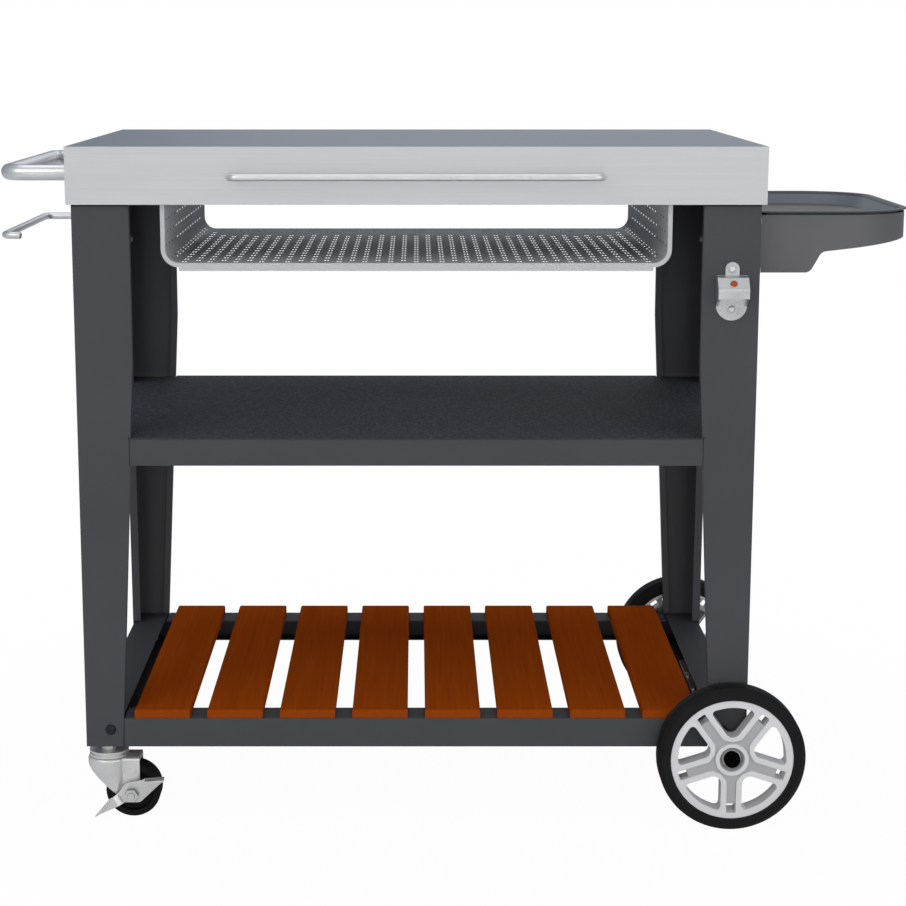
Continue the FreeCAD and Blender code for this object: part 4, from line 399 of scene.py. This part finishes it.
def tray_sheet():
    """The tray's sheet as a grid along its bent section and its depth, open at every hole."""
    low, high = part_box("perforated_tray")
    # Half width, corner radius, depth of the front and back lips, and width of the side returns
    inner, corner, lip, turned = 0.330, 0.018, 0.0105, 0.0058
    ear, thick = 0.03, 0.0015
    base, flat = low.z + lip, inner - corner
    arc = corner * math.pi / 2
    reach = flat + arc + high.z - base - corner

    def section(s):
        """The x and z of a spot that far along the bent sheet from its middle."""
        side, s = math.copysign(1, s), abs(s)
        if s <= flat:
            return CENTRE + side * s, base
        if s <= flat + arc:
            turn = (s - flat) / corner
            return CENTRE + side * (flat + corner * math.sin(turn)), base + corner * (1 - math.cos(turn))
        return CENTRE + side * inner, base + corner + s - flat - arc

    # Each tile is a column of holes: its middle, half width, the holes' half width, and which rows it skips.
    pitch, rows, first = 0.01705, 31, -0.252
    tiles = []
    for k in range(-19, 20):
        for shift in (-0.0019, 0.0019):
            tiles.append((k * pitch + shift, 0.0019, 0.0013, k % 2))
    for side in (-1, 1):
        for row in range(6):
            tiles.append((side * (flat + arc + 0.004 + row * pitch), 0.0025, 0.0014, row % 2))
    across = {-reach, reach}
    for middle, width, _, _ in tiles:
        across.update((middle - width, middle, middle + width))
    across.update(side * (flat + arc * step / 8) for side in (-1, 1) for step in range(9))
    across = sorted(across)
    across = [v for n, v in enumerate(across) if n == 0 or v - across[n - 1] > 1e-5]
    deep = [low.y, first - pitch / 2]
    for row in range(rows):
        deep += [first + row * pitch, first + (row + 0.5) * pitch]
    deep.append(high.y)

    mesh = bmesh.new()
    grid = [[mesh.verts.new((section(s)[0], y, section(s)[1])) for y in deep] for s in across]
    taken = set()
    for middle, width, wide, odd in tiles:
        long = 0.0052 if abs(middle) < flat else 0.0034
        i = min(range(len(across)), key=lambda n: abs(across[n] - middle))
        for row in range(rows):
            if (row + odd) % 2:
                continue
            j = 2 + 2 * row
            around = [(i - 1, j - 1), (i, j - 1), (i + 1, j - 1), (i + 1, j), (i + 1, j + 1), (i, j + 1),
                      (i - 1, j + 1), (i - 1, j)]
            taken.update(((i - 1, j - 1), (i, j - 1), (i - 1, j), (i, j)))
            rim = []
            for n in range(8):
                turn = math.radians(-135 + 45 * n)
                x, y = (math.copysign(abs(v) ** 0.7, v) for v in (math.cos(turn), math.sin(turn)))
                place = section(middle + wide * x)
                rim.append(mesh.verts.new((place[0], deep[j] + long * y, place[1])))
            for n in range(8):
                (a, b), (c, d) = around[n], around[(n + 1) % 8]
                mesh.faces.new((grid[a][b], grid[c][d], rim[(n + 1) % 8], rim[n]))
    for i in range(len(across) - 1):
        for j in range(len(deep) - 1):
            if (i, j) not in taken:
                mesh.faces.new((grid[i][j], grid[i + 1][j], grid[i + 1][j + 1], grid[i][j + 1]))

    def block(lows, highs):
        """A plain block from its low corner to its high one."""
        made = bmesh.ops.create_cube(mesh, size=1)["verts"]
        for vert in made:
            vert.co = Vector(lows[n] if vert.co[n] < 0 else highs[n] for n in range(3))

    # The lips at the front and back, the rounded returns beside them, and the ears at the top
    for end in (-1, 1):
        y = sorted((end * high.y, end * (high.y - thick)))
        block((CENTRE - flat, y[0], low.z), (CENTRE + flat, y[1], base))
        for side in (-1, 1):
            rings = []
            for s in (*(flat + arc * step / 8 for step in range(9)), reach):
                turn = min(max((s - flat) / corner, 0), math.pi / 2)
                x, z = section(side * s)
                x2, z2 = x + side * turned * math.sin(turn), z - turned * math.cos(turn)
                corners = ((x, y[0], z), (x2, y[0], z2), (x2, y[1], z2), (x, y[1], z))
                rings.append([mesh.verts.new(v) for v in corners])
            for one, two in zip(rings, rings[1:]):
                for n in range(4):
                    mesh.faces.new((one[n], one[(n + 1) % 4], two[(n + 1) % 4], two[n]))
    for side in (-1, 1):
        x = sorted((CENTRE + side * inner, CENTRE + side * (inner + ear)))
        block((x[0], low.y, high.z - thick), (x[1], high.y, high.z))
    bmesh.ops.recalc_face_normals(mesh, faces=mesh.faces)
    return mesh


def piece(name, mesh, body, slot_name, material=None, smooth=40):
    """A mesh as an object that rides on a body and takes its finish from a slot."""
    data = bpy.data.meshes.new(name)
    mesh.to_mesh(data)
    mesh.free()
    thing = bpy.data.objects.new(name, data)
    bpy.context.scene.collection.objects.link(thing)
    for face in data.polygons:
        face.use_smooth = True
    data.set_sharp_from_angle(angle=math.radians(smooth))
    finish(thing, material or FINISHES[slot_name])
    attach(thing, body)
    return thing


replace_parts(piece("tray_sheet", tray_sheet(), "cart", "tray_steel"), "perforated_tray")


def emblem():
    """A plain round dot in a low ring, on the bottle opener's hood."""
    opener = nodes["bottle_opener"]
    start = opener.matrix_world.inverted() @ Vector((CENTRE + 0.4145, -1, 0.7428))
    _, spot, normal, _ = opener.ray_cast(start, Vector((0, 1, 0)))
    side = Vector((1, 0, 0))
    rise = normal.cross(side).normalized()
    enamel = moulded("dot_enamel", srgb(172, 64, 8), 0.4, 0.2)
    steps = 40
    # Each profile is turned about the dot's middle, as radius and height above the hood.
    for name, profile, material in (
            ("opener_dot", ((0.0, 0.0009), (0.0028, 0.0008), (0.0046, 0.0003), (0.0047, -0.0004)), enamel),
            ("opener_ring", ((0.0049, -0.0004), (0.0051, 0.0009), (0.0059, 0.0009), (0.0061, -0.0004)), None)):
        mesh, rows = bmesh.new(), []
        for radius, lift in profile:
            turns = [math.tau * step / steps for step in range(steps if radius else 1)]
            rows.append([mesh.verts.new(spot + side * radius * math.cos(t) + rise * radius * math.sin(t)
                                        + normal * lift) for t in turns])
        for one, two in zip(rows, rows[1:]):
            for step in range(steps):
                after = (step + 1) % steps
                if len(one) == 1:
                    mesh.faces.new((one[0], two[step], two[after]))
                else:
                    mesh.faces.new((one[step], two[step], two[after], one[after]))
        bmesh.ops.recalc_face_normals(mesh, faces=mesh.faces)
        piece(name, mesh, "cart", "opener_cast", material)


emblem()


# Floor, light and camera

def wire(tree, *pairs):
    """Links outputs to inputs, each pair given in that order."""
    for source, target in pairs:
        tree.links.new(source, target)


def numbers(node, **given):
    """Sets sockets whose names are given with underscores for spaces."""
    for socket, number in given.items():
        node.inputs[socket.replace("_", " ")].default_value = number


def white_floor():
    """A floor that the camera sees as white, a little less so near the cart where the shadow falls."""
    half = 30
    mesh = bpy.data.meshes.new("floor")
    corners = [(-half, -half, 0), (half, -half, 0), (half, half, 0), (-half, half, 0)]
    mesh.from_pydata(corners, [], [(0, 1, 2, 3)])
    floor = bpy.data.objects.new("floor", mesh)
    bpy.context.scene.collection.objects.link(floor)
    paint = bpy.data.materials.new("floor")
    paint.use_nodes = True
    tree = paint.node_tree
    surface = next(n for n in tree.nodes if n.type == "BSDF_PRINCIPLED")
    numbers(surface, Base_Color=(0.8, 0.8, 0.8, 1), Roughness=0.9)
    glow = tree.nodes.new("ShaderNodeEmission")
    ray = tree.nodes.new("ShaderNodeLightPath")
    blend = tree.nodes.new("ShaderNodeMixShader")
    spot = tree.nodes.new("ShaderNodeTexCoord")
    distance = tree.nodes.new("ShaderNodeVectorMath")
    distance.operation = "LENGTH"
    share = tree.nodes.new("ShaderNodeMapRange")
    numbers(share, From_Min=0.6, From_Max=1.5, To_Min=0.975, To_Max=1.0)
    seen = tree.nodes.new("ShaderNodeMath")
    seen.operation = "MULTIPLY"
    out = next(n for n in tree.nodes if n.type == "OUTPUT_MATERIAL")
    wire(tree, (spot.outputs["Object"], distance.inputs[0]), (distance.outputs["Value"], share.inputs["Value"]),
         (share.outputs[0], seen.inputs[1]), (ray.outputs["Is Camera Ray"], seen.inputs[0]),
         (seen.outputs[0], blend.inputs[0]), (surface.outputs[0], blend.inputs[1]),
         (glow.outputs[0], blend.inputs[2]), (blend.outputs[0], out.inputs["Surface"]))
    mesh.materials.append(paint)


def studio():
    """Light from all round, bright in front and dim behind, that the camera sees as plain white."""
    world = bpy.data.worlds.new("studio")
    scene.world = world
    world.use_nodes = True
    tree = world.node_tree
    back = next(n for n in tree.nodes if n.type == "BACKGROUND")
    numbers(back, Strength=0.85)
    ray = tree.nodes.new("ShaderNodeLightPath")
    white = tree.nodes.new("ShaderNodeBackground")
    numbers(white, Color=(1, 1, 1, 1))
    aim = tree.nodes.new("ShaderNodeTexCoord")
    parts = tree.nodes.new("ShaderNodeSeparateXYZ")
    front = tree.nodes.new("ShaderNodeMapRange")
    numbers(front, From_Min=0.9, From_Max=-0.9)
    sky = tree.nodes.new("ShaderNodeValToRGB")
    sky.color_ramp.elements[0].color = (0.22, 0.25, 0.3, 1)
    sky.color_ramp.elements[1].color = (1.0, 1.0, 1.0, 1)
    sky.color_ramp.elements.new(0.5).color = (0.45, 0.49, 0.55, 1)
    blend = tree.nodes.new("ShaderNodeMixShader")
    seen = tree.nodes.new("ShaderNodeMath")
    seen.operation = "MAXIMUM"
    out = next(n for n in tree.nodes if n.type == "OUTPUT_WORLD")
    wire(tree, (aim.outputs["Generated"], parts.inputs[0]), (parts.outputs[1], front.inputs["Value"]),
         (front.outputs[0], sky.inputs["Fac"]), (sky.outputs["Color"], back.inputs["Color"]),
         (ray.outputs["Is Camera Ray"], seen.inputs[0]), (ray.outputs["Is Transmission Ray"], seen.inputs[1]),
         (seen.outputs[0], blend.inputs[0]), (back.outputs[0], blend.inputs[1]),
         (white.outputs[0], blend.inputs[2]), (blend.outputs[0], out.inputs["Surface"]))


def lamp(name, place, aim, size, watts):
    """A rectangular lamp that points at a spot."""
    light = bpy.data.lights.new(name, "AREA")
    light.shape = "RECTANGLE"
    light.size, light.size_y = size
    light.energy = watts
    thing = bpy.data.objects.new(name, light)
    scene.collection.objects.link(thing)
    thing.location = place
    thing.rotation_euler = (Vector(aim) - Vector(place)).to_track_quat("-Z", "Y").to_euler()
    return thing


scene = bpy.context.scene
white_floor()
studio()
lamp("key", (-2.2, -3.2, 2.6), (0, 0, 0.5), (2.4, 2.0), 26)
lamp("fill", (2.6, -3.0, 1.8), (0, 0, 0.5), (2.4, 2.0), 20)
lamp("front", (0, -4.6, 0.9), (0, 0, 0.55), (3.4, 1.2), 66).visible_glossy = False
lamp("top", (0, 0.4, 3.4), (0, 0, 0.5), (3.0, 2.2), 22)
lamp("rear", (0.5, 3.2, 2.2), (0, 0, 0.5), (2.6, 1.6), 10)

view = bpy.data.cameras.new("camera")
camera = bpy.data.objects.new("camera", view)
scene.collection.objects.link(camera)
view.sensor_width = 36
view.sensor_fit = "HORIZONTAL"
view.lens = 85.42
view.shift_x = 0.0405
camera.location = (CENTRE, -3.0935, 1.0511)
camera.rotation_euler = (math.radians(79.218), 0, 0)
view.clip_end = 100
scene.camera = camera
scene.view_settings.view_transform = "Standard"
